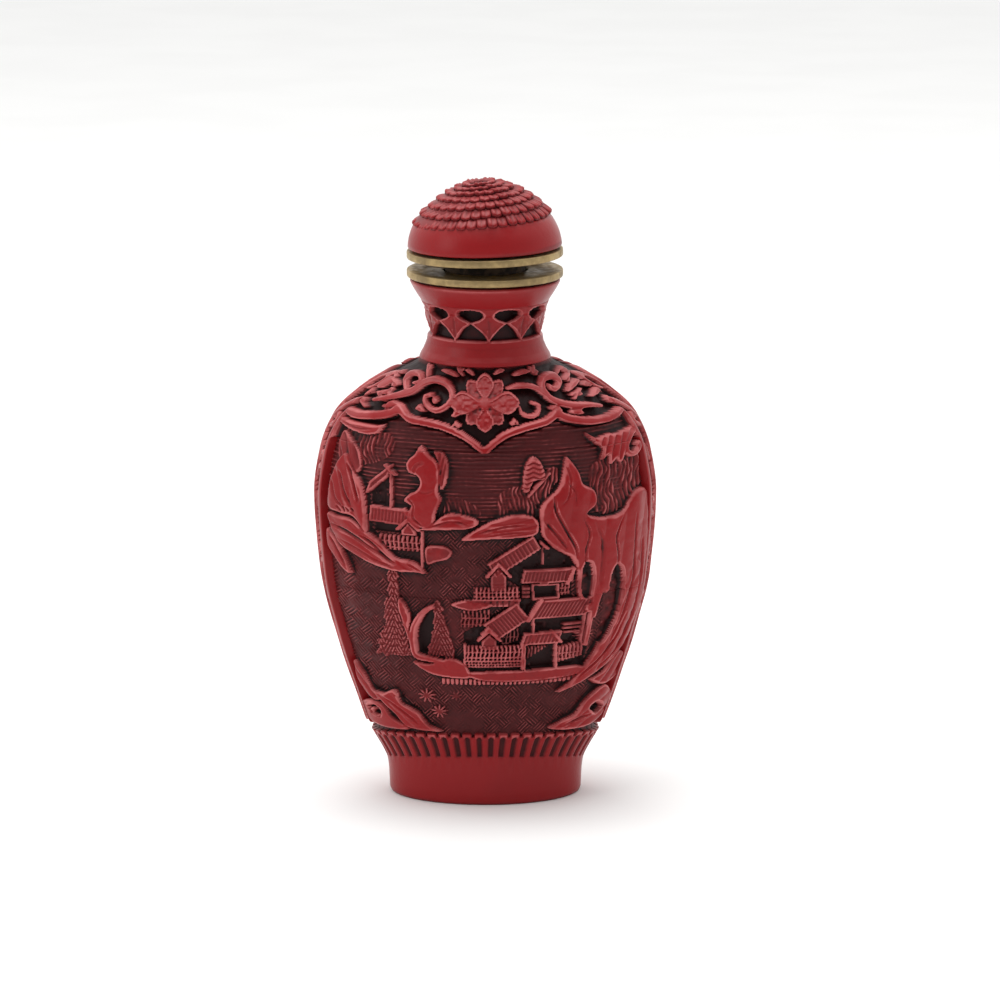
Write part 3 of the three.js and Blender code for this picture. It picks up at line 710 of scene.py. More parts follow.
def village(c):
    """The walled village: tiled houses, dark halls, fences and the plank bank."""
    c.raise_figure([(4.9, 34.4), (7, 34), (10.9, 31.6), (11, 26.4), (13.9, 26), (13.4, 21), (12.4, 17.8), (4.6, 17.6), (2, 21),
                    (-2.6, 20.6), (-2.8, 22.6), (2, 25.4), (4.4, 28.4), (2.8, 29.4)], DEEP + 0.28, 0.1, smooth=False, sink=True,
                   texture=lambda s, z, gap: 0.12 * lattice(s, z, 0.5, 80))
    c.raise_figure([(-4.2, 26.3), (-2.6, 26.9), (-1, 26.9), (1, 26.4), (0.2, 25.9), (-1.6, 25.6), (-3, 25.8)], -0.45, 0.24,
                   texture=plain_grain(0.09, 81))
    fence(c, -3, 23.4, 3.6, 2.2, 0.1, -0.75, 0.5)
    roof(c, (1.4, 29.9), (5.4, 3.3), (-0.9, 1.5), -0.5, 0.5)
    c.lay_strip([(6.9, 33.9), (7.7, 33.2)], 0.4, -0.35, 0.08, smooth=False)
    post(c, 7.2, 31.2, 33.6, 0.24, -0.7)
    gabled_house(c, 0.7, 28.1, 2.0, 1.7, 1.3, -0.45)
    roof(c, (4.6, 29), (6.1, -0.1), (0.35, 1.5), -0.55, 0.46)
    c.lay_strip([(10.1, 28.7), (10.9, 30.5)], 0.42, -0.25, 0.08, smooth=False)
    c.lay_strip([(6, 26.9), (6, 28.7), (9.1, 28.6), (9.1, 26.9), (6, 26.9)], 0.26, -0.6, 0.05, smooth=False)
    dark_room(c, 6.2, 27.1, 2.8, 1.4)
    fence(c, 9.3, 27.2, 1.3, 1.5, 0, -0.8, 0.42)
    c.raise_figure([(4.6, 27), (5.7, 27), (5.7, 28.6), (4.6, 28.6)], -0.85, 0.1, smooth=False,
                   texture=lambda s, z, gap: -0.2 * (np.cos(2 * math.pi * z / 0.5) > 0.3))
    fence(c, -1.4, 27.1, 5.7, 1.4, 0, -0.5, 0.5)
    c.raise_figure([(-1.3, 26.1), (4.3, 26), (4.3, 26.8), (-1.3, 26.9)], -0.6, 0.08, smooth=False,
                   texture=lambda s, z, gap: -0.16 * (np.cos(2 * math.pi * s / 0.75) > 0.6))
    c.lay_strip([(-1.4, 26.95), (4.4, 26.9)], 0.24, -0.42, 0.06, smooth=False)
    roof(c, (5.4, 24.5), (6.9, 0), (1.3, 2.1), -0.5, 0.46)
    c.lay_strip([(5.3, 24.3), (6.9, 26.8)], 0.5, -0.2, 0.08, smooth=False)
    post(c, 6, 21.4, 24.4, 0.28)
    for level in (23.4, 22.9, 22.4):
        c.lay_strip([(9.9, level), (12.4, level)], 0.34, -0.75, 0.06, smooth=False)
    c.lay_strip([(13.4, 26.2), (12.4, 20.6)], 0.55, -0.3, 0.12)
    c.lay_strip([(12.6, 25.4), (11.9, 20.9)], 0.3, -0.55, 0.1)
    c.raise_figure([(12.3, 25.6), (13.4, 25.9), (13.7, 25), (12.6, 24.7)], -0.35, 0.15, texture=plain_grain(0.12, 83))
    dark_room(c, 2, 21.2, 2.6, 3)
    fence(c, 2.1, 20.9, 2.3, 2.2, 0.8, -1.0, 0.46)
    roof(c, (1.5, 21.9), (3.9, 2.6), (-1.5, 1.9), -0.48, 0.44)
    gabled_house(c, -0.4, 20.5, 1.9, 1.2, 1.0, -0.42)
    c.raise_figure([(-0.6, 22.6), (0.4, 23.7), (1.7, 22.5), (1.3, 22.2), (0.5, 23), (-0.2, 22.3)], -0.2, 0.1, smooth=False)
    roof(c, (4.5, 21.1), (4.4, 0.1), (0.5, 1.4), -0.42, 0.5)
    c.lay_strip([(8.3, 22.7), (9.3, 21.3)], 0.4, -0.2, 0.08, smooth=False)
    post(c, 4.9, 17.8, 21, 0.3)
    post(c, 8.8, 17.8, 21, 0.3)
    dark_room(c, 5.9, 17.9, 2.7, 2.7)
    c.raise_figure([(5.1, 19), (7, 20.2), (8.2, 20.8), (5.1, 20.9)], -0.8, 0.1, smooth=False, texture=pickets(0.42, 0.35))
    fence(c, -2.5, 19.2, 7.1, 1.9, 0, -0.45, 0.52)
    fence(c, -2.5, 18.2, 7.1, 0.9, 0, -0.5, 0.4)
    c.lay_strip([(-2.6, 19.15), (4.7, 19.1)], 0.22, -0.35, 0.06, smooth=False)
    post(c, -2.5, 18, 21.2, 0.34, -0.35)
    post(c, 4.6, 18, 21.2, 0.34, -0.35)
    fence(c, 9.1, 18.6, 3, 2, 0.5, -0.5, 0.46)
    grass_star(c, 12.4, 22, 1.25, 13, -0.7)
    c.raise_figure([(-2.4, 17.6), (4, 17.8), (11.4, 17.9), (12.4, 17), (10.6, 16.6), (6, 16.4), (2, 16.4), (-1, 16.7)], -0.35,
                   0.2, texture=plain_grain(0.05, 86))
    c.raise_figure([(-8.9, 18.7), (-6.8, 18.6), (-4.4, 19.4), (-2.6, 18.8), (-1.8, 17), (-4.6, 16.9), (-7, 17.4)], -0.25, 0.25,
                   texture=plain_grain(0.05, 85))
    for k in range(30):
        s = -5.4 + 0.56 * k
        c.raise_figure([(s, 16.7), (s + 0.42, 16.7), (s + 0.38, 16), (s + 0.04, 15.95)], -0.55, 0.16)


def left_bank(c):
    """Two cypresses, a rock arch, and the low rocks with a holed scroll."""
    cypress(c, (-11.3, 18.9), (-11.6, 30.6), 4.6, 91)
    c.raise_figure([(-10.6, 26.8), (-9.8, 26), (-9.2, 24.4), (-9.4, 23), (-10, 23.8), (-10.6, 25.2)], -0.3, 0.2,
                   texture=plain_grain(0.08, 92))
    c.raise_figure([(-8.2, 24.6), (-6.6, 25.6), (-6.2, 22), (-6, 19.6), (-8.2, 19.8), (-8.6, 22)], DEEP + 0.05, 0.05, sink=True)
    c.lay_strip([(-6.4, 26), (-7.6, 25.2), (-8.7, 23.2), (-8.8, 21), (-8.4, 19.6), (-6.8, 19.2), (-4.4, 18.9)], 0.85, -0.2, 0.15,
                (0.6, 0.5))
    c.lay_strip([(-10.2, 24.6), (-9.5, 22.6), (-8.9, 20.6)], 0.6, -0.35, 0.2, (0.4, 1))
    cypress(c, (-5.4, 19.2), (-6, 27.4), 3.9, 95)
    grass_star(c, -7.4, 14.2, 1.2, 9, -0.75)
    grass_star(c, -5.8, 12.2, 1.1, 9, -0.75)
    grass_star(c, -3.7, 14.3, 0.8, 7, -0.9)
    c.raise_figure([(-16.4, 17.4), (-15.2, 16), (-14, 14), (-12.4, 13.6), (-13.6, 12.6), (-15, 13.4), (-16, 15)], -0.3, 0.25,
                   texture=bark(-0.9, 0.9, 0.2, 97))
    c.raise_figure([(-13.8, 13.9), (-12.6, 13.9), (-11.2, 14.6), (-10.4, 13), (-8.4, 12), (-7, 10.4), (-5.4, 9.6), (-9.4, 9.8),
                    (-11.2, 11.4), (-12.6, 12.6)], -0.1, 0.3, 0.06, bark(-0.75, 1.2, 0.18, 98))
    c.cut_groove([(-12.6, 13.5), (-10.2, 12), (-8, 10.4)], 0.4, 0.3)
    c.cut_groove([(-11.2, 14), (-9.6, 12.9), (-8.6, 12)], 0.3, 0.2)
    c.raise_figure([(-15.4, 11.6), (-14.4, 12.5), (-12.8, 12.3), (-11.6, 10.8), (-9.6, 9.9), (-9.8, 9.4), (-13, 9.2), (-14.6, 9.8)],
                   -0.12, 0.3)
    c.raise_figure([(-14.6, 11.5), (-13.7, 12), (-12.8, 11.4), (-12.9, 10.5), (-13.8, 10.5)], DEEP + 0.1, 0.08, sink=True)
    c.lay_strip(turned([(-12.9, 10.2)], (-13.7, 11.1), 0.75, -0.6, -3.4, 0.5), 0.4, -0.3)


def right_bank(c):
    """A low rock with a hole, and a crest of stone above it."""
    c.raise_figure([(8, 9.8), (9.4, 10.6), (11.2, 11.4), (12.4, 12.8), (13.6, 13.8), (15, 14.4), (15.6, 12.6), (14.6, 10.4), (13, 9.4),
                    (10.6, 9.3)], -0.14, 0.3, 0.06, bark(0.6, 1.1, 0.16, 101))
    c.raise_figure([(12.8, 11.9), (13.8, 12.4), (14.4, 11.6), (13.6, 10.8)], DEEP + 0.15, 0.1, sink=True)
    c.cut_groove([(9.4, 10), (11.4, 10.6), (13, 11)], 0.4, 0.3)
    c.raise_figure([(13.2, 15.6), (14.6, 16.4), (16.6, 18.6), (17.2, 17.4), (16.2, 15.2), (14.6, 14.6)], -0.25, 0.25,
                   texture=bark(0.9, 0.9, 0.2, 103))


def front_ground(s, z):
    """Ruled sky down to the far shore, hatched water below it."""
    shore = 35.6 + 0.1 * np.sin(s)
    return np.where(z > shore, sky_lines(s, z), water_hatch(s, z))


def carve_front(s, z, seen):
    lift = np.where(seen, front_ground(s, z), GROUND)
    c = Carving(s, z, lift, seen)
    middle_islands(c)
    left_cliffs(c)
    left_houses(c)
    beaked_rock(c)
    village(c)
    left_bank(c)
    right_mountain(c)
    right_leaves(c)
    right_bank(c)
    return c


turn_front = np.linspace(-FRONT_REACH, FRONT_REACH, 381)
for name, low, high, count in (("body_front_low", FOOT_TOP, SEAM_Z, 165), ("body_front_high", SEAM_Z, COLLAR_Z, 165)):
    levels = even_rows(low, high, count)
    up, side = sides_of(turn_front, levels)
    carved = carve_front(side["front"][0], up, side["front"][1])
    piece = skin(name, turn_front, levels, carved.lift, False, 0.11, RED_CARVED)
    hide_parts("bottle")
    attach(piece, "root")


# ---- The back and the narrow sides -------------------------------------------------------------------------------
# The back carries a quieter view: two peaks over water, a pavilion on a bank, a cypress and low rocks. Each narrow
# side has a column of scrolls between two smooth strips.

def carve_back(s, z, lift, seen):
    c = Carving(s, z, lift, seen)
    far_trees(c, [(-8, 36.6), (-4, 40), (0, 40.6), (4, 39), (6, 36.8)], 111)
    c.raise_figure([(-17.6, 40), (-14, 44.2), (-11.4, 40.8), (-9.4, 37.6), (-11.4, 33), (-12.4, 29), (-14.6, 25), (-17.6, 27),
                    (-19, 33)], -0.1, 0.35, 0.1, bark(1.5, 1.7, 0.14, 112))
    c.raise_figure([(12.6, 43.6), (15, 41), (17.6, 39), (18.6, 33), (17, 30), (14.4, 29.6), (12.2, 33.6), (10.4, 38)], -0.1, 0.35, 0.1,
                   bark(1.6, 1.6, 0.14, 114))
    for path in ([(-14, 43.6), (-14.6, 39), (-13.4, 33), (-14.6, 27)], [(-16, 41), (-16.8, 36), (-16, 30)],
                 [(-12, 40.6), (-11.4, 37), (-12.6, 32)], [(12.8, 42.6), (13.4, 38), (14, 32)], [(15, 40), (15.8, 36), (15.6, 31)]):
        c.cut_groove(path, 0.5, 0.45)
    c.raise_figure([(-7, 36.5), (-4, 37.6), (-1, 38.5), (2, 37.8), (3.6, 36.9), (1, 36), (-3, 35.7)], -0.16, 0.26, 0.08,
                   bark(0.1, 0.75, 0.16, 116))
    c.raise_figure([(3.6, 33.1), (7, 34.8), (10.4, 33.3), (7, 32)], -0.2, 0.26, 0.08, bark(0.1, 0.7, 0.16, 117))
    c.raise_figure([(-12.2, 21.2), (-8, 21.8), (-4, 22.1), (6, 21.9), (12.2, 21.1), (9, 20), (4, 19.3), (-6, 19.3), (-10, 20)], -0.3, 0.25,
                   texture=plain_grain(0.06, 118))
    c.raise_figure([(-3.4, 22.4), (3.4, 22.4), (3.4, 27.6), (-3.4, 27.6)], -0.6, 0.08, smooth=False)
    for s0 in (-2.7, -0.7, 1.3):
        dark_room(c, s0, 22.9, 1.4, 3.4)
    roof(c, (-4.5, 27.2), (9, 0), (0, 2.3), -0.25, 0.5)
    c.lay_strip([(-4.6, 29.6), (0, 29.3), (4.6, 29.6)], 0.5, -0.12, 0.1)
    c.lay_strip([(-5.2, 27.6), (-4.2, 27.1), (0, 26.9), (4.2, 27.1), (5.2, 27.6)], 0.4, -0.15, 0.1)
    fence(c, -9.7, 22, 5.8, 2.4, 0, -0.5, 0.52)
    fence(c, 4.3, 22, 5.6, 2.4, 0, -0.5, 0.52)
    for s0 in (-9.7, -3.7, 3.7, 9.9):
        post(c, s0, 21.8, 25, 0.36)
    cypress(c, (11.8, 21.4), (12, 31), 3.6, 119)
    cypress(c, (-8, 16), (-8.2, 22), 2.6, 120, -0.5)
    c.raise_figure([(-14.8, 14.6), (-12.6, 15.2), (-10, 14.2), (-7, 11.8), (-5.2, 10.2), (-8, 9.9), (-11.4, 10), (-13.4, 12)], -0.12,
                   0.3, 0.06, bark(-0.7, 1.2, 0.16, 121))
    c.raise_figure([(7.2, 10.2), (9.4, 12), (11.4, 13.9), (14.2, 14), (13.8, 12), (12.4, 10.2), (9.6, 9.8)], -0.12, 0.3, 0.06,
                   bark(0.6, 1.1, 0.16, 122))
    grass_star(c, -1.6, 13.6, 1.2, 9, -0.75)
    grass_star(c, 3.4, 12, 1, 9, -0.75)


def carve_side(s, z, lift, seen):
    c = Carving(s, z, lift, seen)
    stem = [(0.35 * math.sin(z0 * 0.9), z0) for z0 in np.arange(9.4, 46, 1.2)]
    c.lay_strip(stem, 1.5, -0.05, 0.1)
    for k in range(6):
        level, hand = 13 + 5.8 * k, 1 if k % 2 else -1
        c.lay_strip(turned([(hand * 0.3, level - 2.4)], (hand * 1.7, level), 1.15, -1.9 if hand > 0 else 5.0, hand * 5, 0.6, 18), 0.7,
                    -0.25, 0.2, (1, 0.6))
        c.lay_strip([(-hand * 0.4, level - 0.6), (-hand * 1.6, level + 0.4), (-hand * 2.2, level + 1.8)], 0.8, -0.3, 0.2, (1, 0.3))
    for hand in (-1, 1):
        c.lay_strip([(hand * 3.0, 9.6), (hand * 3.3, 20), (hand * 3.7, 29), (hand * 3.8, 38), (hand * 3.6, 45.4)], 1.0, -0.06, 0.1)


turn_back = np.linspace(FRONT_REACH, 2 * math.pi - FRONT_REACH, 341)
levels = even_rows(FOOT_TOP, COLLAR_Z, 211)
up, side = sides_of(turn_back, levels)
facing = np.cos(np.meshgrid(turn_back, levels)[0])
across = side["back"][0]
lift = np.where(facing < -0.3, front_ground(across, up), GROUND + 0.04 * lattice(up, across, 0.6, 125))
carve_back(across, up, lift, facing < -0.3)
carve_side(side["right"][0], up, lift, side["right"][1] & (facing > -0.31))
carve_side(side["left"][0], up, lift, side["left"][1] & (facing > -0.31))
body_back = skin("body_back", turn_back, levels, lift, False, 0.2, RED_CARVED)
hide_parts("bottle")
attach(body_back, "root")


# ---- The shoulder's collar ---------------------------------------------------------------------------------------
# Above a raised cloud-shaped border the shoulder carries a lotus and scrolling stems, cut through to a dark ground.

COLLAR_GROUND = -1.5
LOTUS = (0.0, 50.4)


def collar_front(c, hand_left=-1):
    """The lotus in the middle of a face, with its two scrolling stems."""
    for path in ([(-18, 49.8), (-17.4, 48.7), (-16.3, 48.1), (-13.9, 48.3), (-11.6, 48.8), (-10.4, 49.5)],
                 [(-10.4, 49.5), (-9.7, 48.8), (-9, 48.4), (-7.4, 48.2), (-5.1, 47.8), (-2.6, 46.8), (-1, 45.7), (0, 45)],
                 [(0, 45), (0.9, 45.8), (2.7, 47), (4.9, 47.7), (7.5, 48.3), (8.8, 49.2)],
                 [(8.8, 49.2), (9.6, 48.6), (12.6, 47.9), (15.4, 47.9), (17, 48.6), (17.8, 49.8)]):
        c.lay_strip(path, 0.85, -0.06, 0.12)
        c.cut_groove(np.array(path) - (0, 0.62), 0.5, 0.4)
    s0, z0 = LOTUS
    for k, (reach, wide) in enumerate(((4.3, 2.3), (3.2, 1.7), (2.6, 2.2), (3.2, 1.7)) * 2):
        angle = math.pi / 4 * k
        u, v = np.array([math.cos(angle), math.sin(angle)]), np.array([-math.sin(angle), math.cos(angle)])
        reach = 3.1 if k == 2 else 3.2 if k == 6 else reach
        centre = np.array(LOTUS)
        outline = [centre + 0.5 * u + 0.2 * v, centre + 0.55 * reach * u + wide / 2 * v, centre + 0.8 * reach * u + wide * 0.42 * v,
                   centre + reach * u, centre + 0.8 * reach * u - wide * 0.42 * v, centre + 0.55 * reach * u - wide / 2 * v,
                   centre + 0.5 * u - 0.2 * v]
        top = -0.12 if k % 2 == 0 else -0.3
        c.raise_figure(outline, top, 0.2, texture=lambda s, z, gap: np.where(gap > 0.22, -0.14 + 0.12 * lattice(s, z, 0.3, 131), 0))
    c.raise_figure([(s0 + 0.75 * math.cos(k), z0 + 0.75 * math.sin(k)) for k in range(6)], 0.0 - 0.08, 0.3, 0.05)
    c.lay_strip([(-13.6, 49.9), (-10.8, 50.7), (-8.8, 51.4), (-7.4, 52.3), (-6, 52.6), (-4.6, 52.2), (-4, 51.2), (-4.6, 50.1),
                 (-6, 49.5), (-7.2, 50.1), (-7.3, 50.9), (-6.5, 51.1)], 0.72, -0.12, 0.25, (0.5, 0.6))
    c.lay_strip([(-9.6, 51.2), (-9.9, 52.2), (-9.2, 52.9), (-8.1, 52.9), (-8, 52.3), (-8.8, 52.1)], 0.5, -0.2, 0.2, (1, 0.6))
    for s1, z1, s2, z2 in ((-17, 48.9, -15.2, 49.9), (-15, 50.1, -13.9, 51), (-13.2, 51.1, -11.4, 52.1), (-12.2, 49.4, -10.6, 49.9),
                           (-8.4, 49.6, -7.4, 49.4), (-4, 49, -3, 49.3)):
        c.lay_strip([(s1, z1), ((s1 + s2) / 2, (z1 + z2) / 2 + 0.15), (s2, z2)], 0.7, -0.25, 0.25, (0.4, 0.4))
    c.raise_figure([(-6.1 + 0.4 * math.cos(k), 50.6 + 0.4 * math.sin(k)) for k in range(6)], -0.2, 0.25)
    c.lay_strip([(14.2, 49.2), (12.9, 49.5), (10.3, 49.8), (8.1, 50.6), (7.1, 51.7), (7.2, 52.6), (8.4, 52.8), (9.2, 52.1), (8.6, 51.5),
                 (7.9, 51.9)], 0.72, -0.12, 0.25, (0.5, 0.6))
    c.lay_strip([(2.7, 51.9), (4.4, 52.1), (6.1, 51.9), (7.2, 51.2)], 0.55, -0.18, 0.2, (0.5, 1))
    c.lay_strip([(4.2, 50), (4.6, 49.2), (5.4, 48.9), (6.4, 49.1), (6.6, 50), (5.8, 50.3)], 0.5, -0.18, 0.2, (0.5, 0.7))
    for s1, z1, s2, z2 in ((13.2, 50.3, 14.6, 50.9), (15, 49.9, 15.9, 49.2), (16.4, 49, 17.4, 48.4), (10.2, 51.2, 11.6, 51.9),
                           (8, 49.6, 9.4, 49.3), (10.6, 49, 12, 48.8)):
        c.lay_strip([(s1, z1), ((s1 + s2) / 2, (z1 + z2) / 2 + 0.15), (s2, z2)], 0.7, -0.25, 0.25, (0.4, 0.4))
    rng = np.random.RandomState(137)
    for s1, z1 in ((-16, 50.2), (-14.6, 50.9), (-15.3, 49.4), (-13.4, 51.9), (-12, 50.9), (-12.9, 50.2), (-11, 52.8), (-10.9, 51.8),
                   (-7.2, 53.4), (-3.2, 53.6), (11.4, 50.8), (12.8, 51.4), (13.9, 50.5), (15.2, 50.6), (14.2, 51.6), (10.4, 52.6),
                   (12, 52.3), (16, 49.9), (9.6, 53.3), (6, 53.4), (3.4, 50.8), (-3.6, 48.2), (3.6, 48.5), (-12, 49.5), (11.2, 49.2)):
        for petal in range(4):
            angle = rng.uniform(0, 6.28)
            tip = (s1 + 0.75 * math.cos(angle), z1 + 0.6 * math.sin(angle))
            c.lay_strip([(s1, z1), tip], 0.42, -0.5 + 0.25 * rng.uniform(), 0.2, (1, 0.4), smooth=False)
    for s1, z1, s2, z2 in ((-5.4, 53.6, -3.4, 53.1), (3.6, 53.2, 5.6, 53.5), (-2.4, 53.8, -1.4, 53.3), (1.2, 53.4, 2.4, 53.8)):
        c.lay_strip([(s1, z1), ((s1 + s2) / 2, (z1 + z2) / 2 + 0.1), (s2, z2)], 0.5, -0.3, 0.2, (0.4, 0.4))


def collar_side(c):
    """The border's lobe on a narrow side, with a pair of scrolls above it."""
    for hand in (-1, 1):
        c.lay_strip([(hand * 5, 49.2), (hand * 3.6, 49.4), (hand * 1.8, 48.2), (hand * 0.7, 47.2), (0, 46.4)], 0.85, -0.06, 0.12)
    c.lay_strip([(0, 44.9), (0, 46)], 1.5, -0.05, 0.1)
    for hand in (-1, 1):
        c.lay_strip([(hand * 3.6, 44.9), (hand * 3.7, 46.4), (hand * 4, 48.2)], 1.0, -0.06, 0.1)
        c.lay_strip(turned([(hand * 0.3, 45.6)], (hand * 1.7, 47), 0.9, -1.9 if hand > 0 else 5.0, hand * 5, 0.6, 18), 0.7, -0.2, 0.2)
        c.lay_strip(turned([(hand * 0.3, 48.6), (hand * 0.8, 50)], (hand * 2.3, 51.3), 1.4, 3.4 if hand > 0 else -0.3, -hand * 4.6, 0.6),
                    0.7, -0.15, 0.25, (0.5, 0.6))


levels = even_rows(COLLAR_Z, SHOULDER_TOP, 105)
turn_round = np.linspace(-math.pi, math.pi, 561)[:-1]
up, side = sides_of(turn_round, levels)
turn = np.meshgrid(turn_round, levels)[0]
facing = np.cos(turn)
lift = np.where(facing > 0, sky_lines(side["front"][0], up), sky_lines(side["back"][0], up))
lift = np.where(np.abs(facing) < math.cos(FRONT_REACH), GROUND, lift)
COLLAR_SIDE = 0.30
for key, seen in (("front", facing > COLLAR_SIDE), ("back", facing < -COLLAR_SIDE)):
    across = side[key][0]
    border = np.interp(np.abs(across), (0, 0.9, 2.7, 5, 7.5, 9, 10.5, 12.6, 15.4, 19), (45.1, 45.8, 47, 47.7, 48.2, 48.7, 49.1, 48.1, 48, 48.3))
    above = seen & (up > border)
    lift = np.where(above, COLLAR_GROUND + 0.05 * lattice(across, up, 0.5, 133), lift)
    c = Carving(across, up, lift, seen)
    if key == "front":
        beaked_rock(c)
        left_cliffs(c)
        right_leaves(c)
        lift = np.where(above, COLLAR_GROUND + 0.05 * lattice(across, up, 0.5, 133), c.lift)
        c = Carving(across, up, lift, seen)
    collar_front(c)
    lift = c.lift
for key in ("right", "left"):
    seen = (np.abs(facing) < COLLAR_SIDE) & side[key][1]
    across = side[key][0]
    border = np.interp(np.abs(across), (0, 0.7, 1.8, 3.6, 5), (46.4, 47.2, 48.2, 49.4, 49.2))
    lift = np.where(seen & (up > border), COLLAR_GROUND + 0.05 * lattice(across, up, 0.5, 135), lift)
    c = Carving(across, up, lift, seen)
    collar_side(c)
rim = np.clip((up - 53.5) / 0.9, 0, 1)
lift = lift * (1 - rim) - 0.5 * rim
collar = skin("shoulder_collar", turn_round, levels, lift, True, 0.16, RED_CARVED)
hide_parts("bottle")
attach(collar, "root")


# ---- The neck ----------------------------------------------------------------------------------------------------
# A round neck in a ring of nine hanging leaves, cut through between their stems, under a plain flaring cup that is
# bored for the cork.

LEAVES = 10
LEAF_FIRST = 0.07
MOUTH_Z = 63.7
BORE = ((53.0, 4.5), (57.0, 4.5), (57.3, 4.75), (62.6, 5.25), (63.5, 5.3), (63.7, 5.55))

rows = np.concatenate([np.linspace(54.2, 61.4, 84), np.linspace(61.5, MOUTH_Z, 12)])
turns = np.linspace(-math.pi, math.pi, 401)[:-1]
turn, up = np.meshgrid(turns, rows)
back = np.interp(up, (54.2, 54.6, 55.2, 56.2, 56.9, 57.05, 57.25, 60.9, 61.15, 61.6, 62.4, 63.2, 63.55, 63.7),
                 (7.95, 7.8, 7.45, 7.05, 6.95, 6.8, 6.05, 6.05, 7.7, 8.0, 8.5, 8.95, 9.08, 8.95))
leaf_top = np.interp(up, (54.2, 57.2, 58.5, 60, 61.2, 63.7), (6.8, 6.85, 7.1, 7.4, 7.75, 7.75))
pitch = 2 * math.pi / LEAVES
local = (np.mod(turn - LEAF_FIRST + pitch / 2, pitch) - pitch / 2) * 7.3
local = local + 0.12 * lattice(turn * 7.3, up, 1.0, 140)
half = np.interp(up, (57.2, 57.5, 58, 58.5, 58.9, 59.3, 59.7, 60.1, 60.5, 60.8, 61.0),
                 (0.25, 0.5, 0.9, 1.35, 1.9, 2.45, 1.3, 0.75, 0.8, 1.2, 2.6))
edge = np.clip((half - np.abs(local)) / 0.16, 0, 1)
vein = 0.12 * np.exp(-(local / 0.13) ** 2) * np.clip((up - 57.8) / 0.5, 0, 1) * np.clip((60.2 - up) / 0.5, 0, 1)
dish = 0.12 * np.clip((half - np.abs(local) - 0.2) / 0.3, 0, 1) * (up < 60.2)
grain = 0.05 * lattice(local, up, 0.35, 141)
radius = np.where((edge > 0) & (up < 61.1), np.maximum(back, back + (leaf_top - vein - dish + grain - back) * np.sqrt(edge)), back)
radius += 0.012 * lattice(turn * 8, up, 0.9, 142)
outside = np.stack([radius * np.sin(turn), -radius * np.cos(turn), up], axis=-1).reshape(-1, 3)
bore_z, bore_r = zip(*BORE)
hole_turn, hole_up = np.meshgrid(np.linspace(-math.pi, math.pi, 73)[:-1], bore_z)
hole_r = np.broadcast_to(np.array(bore_r)[:, None], hole_turn.shape)
inside = np.stack([hole_r * np.sin(hole_turn), -hole_r * np.cos(hole_turn), hole_up], axis=-1).reshape(-1, 3)
out_ids = np.arange(turn.size).reshape(turn.shape)
in_ids = turn.size + np.arange(hole_turn.size).reshape(hole_turn.shape)
out_ids = np.hstack([out_ids, out_ids[:, :1]])
in_ids = np.hstack([in_ids, in_ids[:, :1]])
faces = grid_quads(out_ids)
smooth_faces = len(faces)
faces += [quad[::-1] for quad in grid_quads(in_ids)]
faces += [face[::-1] for face in zipper(out_ids[0].tolist(), in_ids[0].tolist())]
faces += zipper(out_ids[-1].tolist(), in_ids[-1].tolist())
smooth = np.zeros(len(faces), bool)
smooth[:smooth_faces] = True
neck = new_piece("neck", np.vstack([outside, inside]), faces, smooth, RED_CARVED)
depth = radius - np.interp(up, (54.2, 55.2, 57, 60, 61.2, 63.7), (7.9, 7.5, 6.95, 7.4, 7.75, 9.0))
sharp = 0.6 * (depth - blurred(depth, 3, True)) + 0.4 * (depth - blurred(depth, 8, True))
sharp *= up < 61.2
# The cuts between the leaves take darker colours from their depth and cavity, as painted shade, and the leaves' edges
# are paled by wear and a painted highlight.
paint_depth(neck, np.clip(0.95 + depth / 1.2, 0, 1), np.clip(sharp, -1, 1), np.clip(depth - blurred(depth, 1.5, True), -1, 1))
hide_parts("bottle")
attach(neck, "root")


# ---- The foot ----------------------------------------------------------------------------------------------------
# An oval foot with a hollow underside, and a ring of hanging petals where it flares to meet the body.

FOOT_UNDER = ((9.0, 5.6, 1.2), (9.25, 5.85, 1.1), (9.6, 6.2, 0.05), (9.75, 6.35, 0), (11.35, 7.65, 0), (11.6, 7.88, 0.12))
FOOT_SIDE = ((0.5, 11.75, 8.0), (1.6, 11.8, 8.06), (2.8, 11.85, 8.1), (3.7, 11.95, 8.16))
WINDOWS = 50


def oval_lathe(name, rings, columns, material, flat=()):
    """A closed oval turning; the first and last rings are points on the axis."""
    turns = 2 * math.pi * np.arange(columns) / columns
    points = [(0, 0, rings[0][0])]
    for z, a, b in rings[1:-1]:
        points += np.stack([a * np.sin(turns), -b * np.cos(turns), np.full(columns, z)], axis=-1).tolist()
    points.append((0, 0, rings[-1][0]))
    faces = []
    smooth = []
    ring = lambda k: [1 + k * columns + j for j in range(columns)]
    first, last = ring(0), ring(len(rings) - 3)
    for j in range(columns):
        faces.append((0, first[(j + 1) % columns], first[j]))
        smooth.append(False)
    for k in range(len(rings) - 3):
        low, high = ring(k), ring(k + 1)
        for j in range(columns):
            n = (j + 1) % columns
            faces.append((low[j], low[n], high[n], high[j]))
            smooth.append(k not in flat)
    for j in range(columns):
        faces.append((last[j], last[(j + 1) % columns], len(points) - 1))
        smooth.append(False)
    return new_piece(name, points, faces, smooth, material)


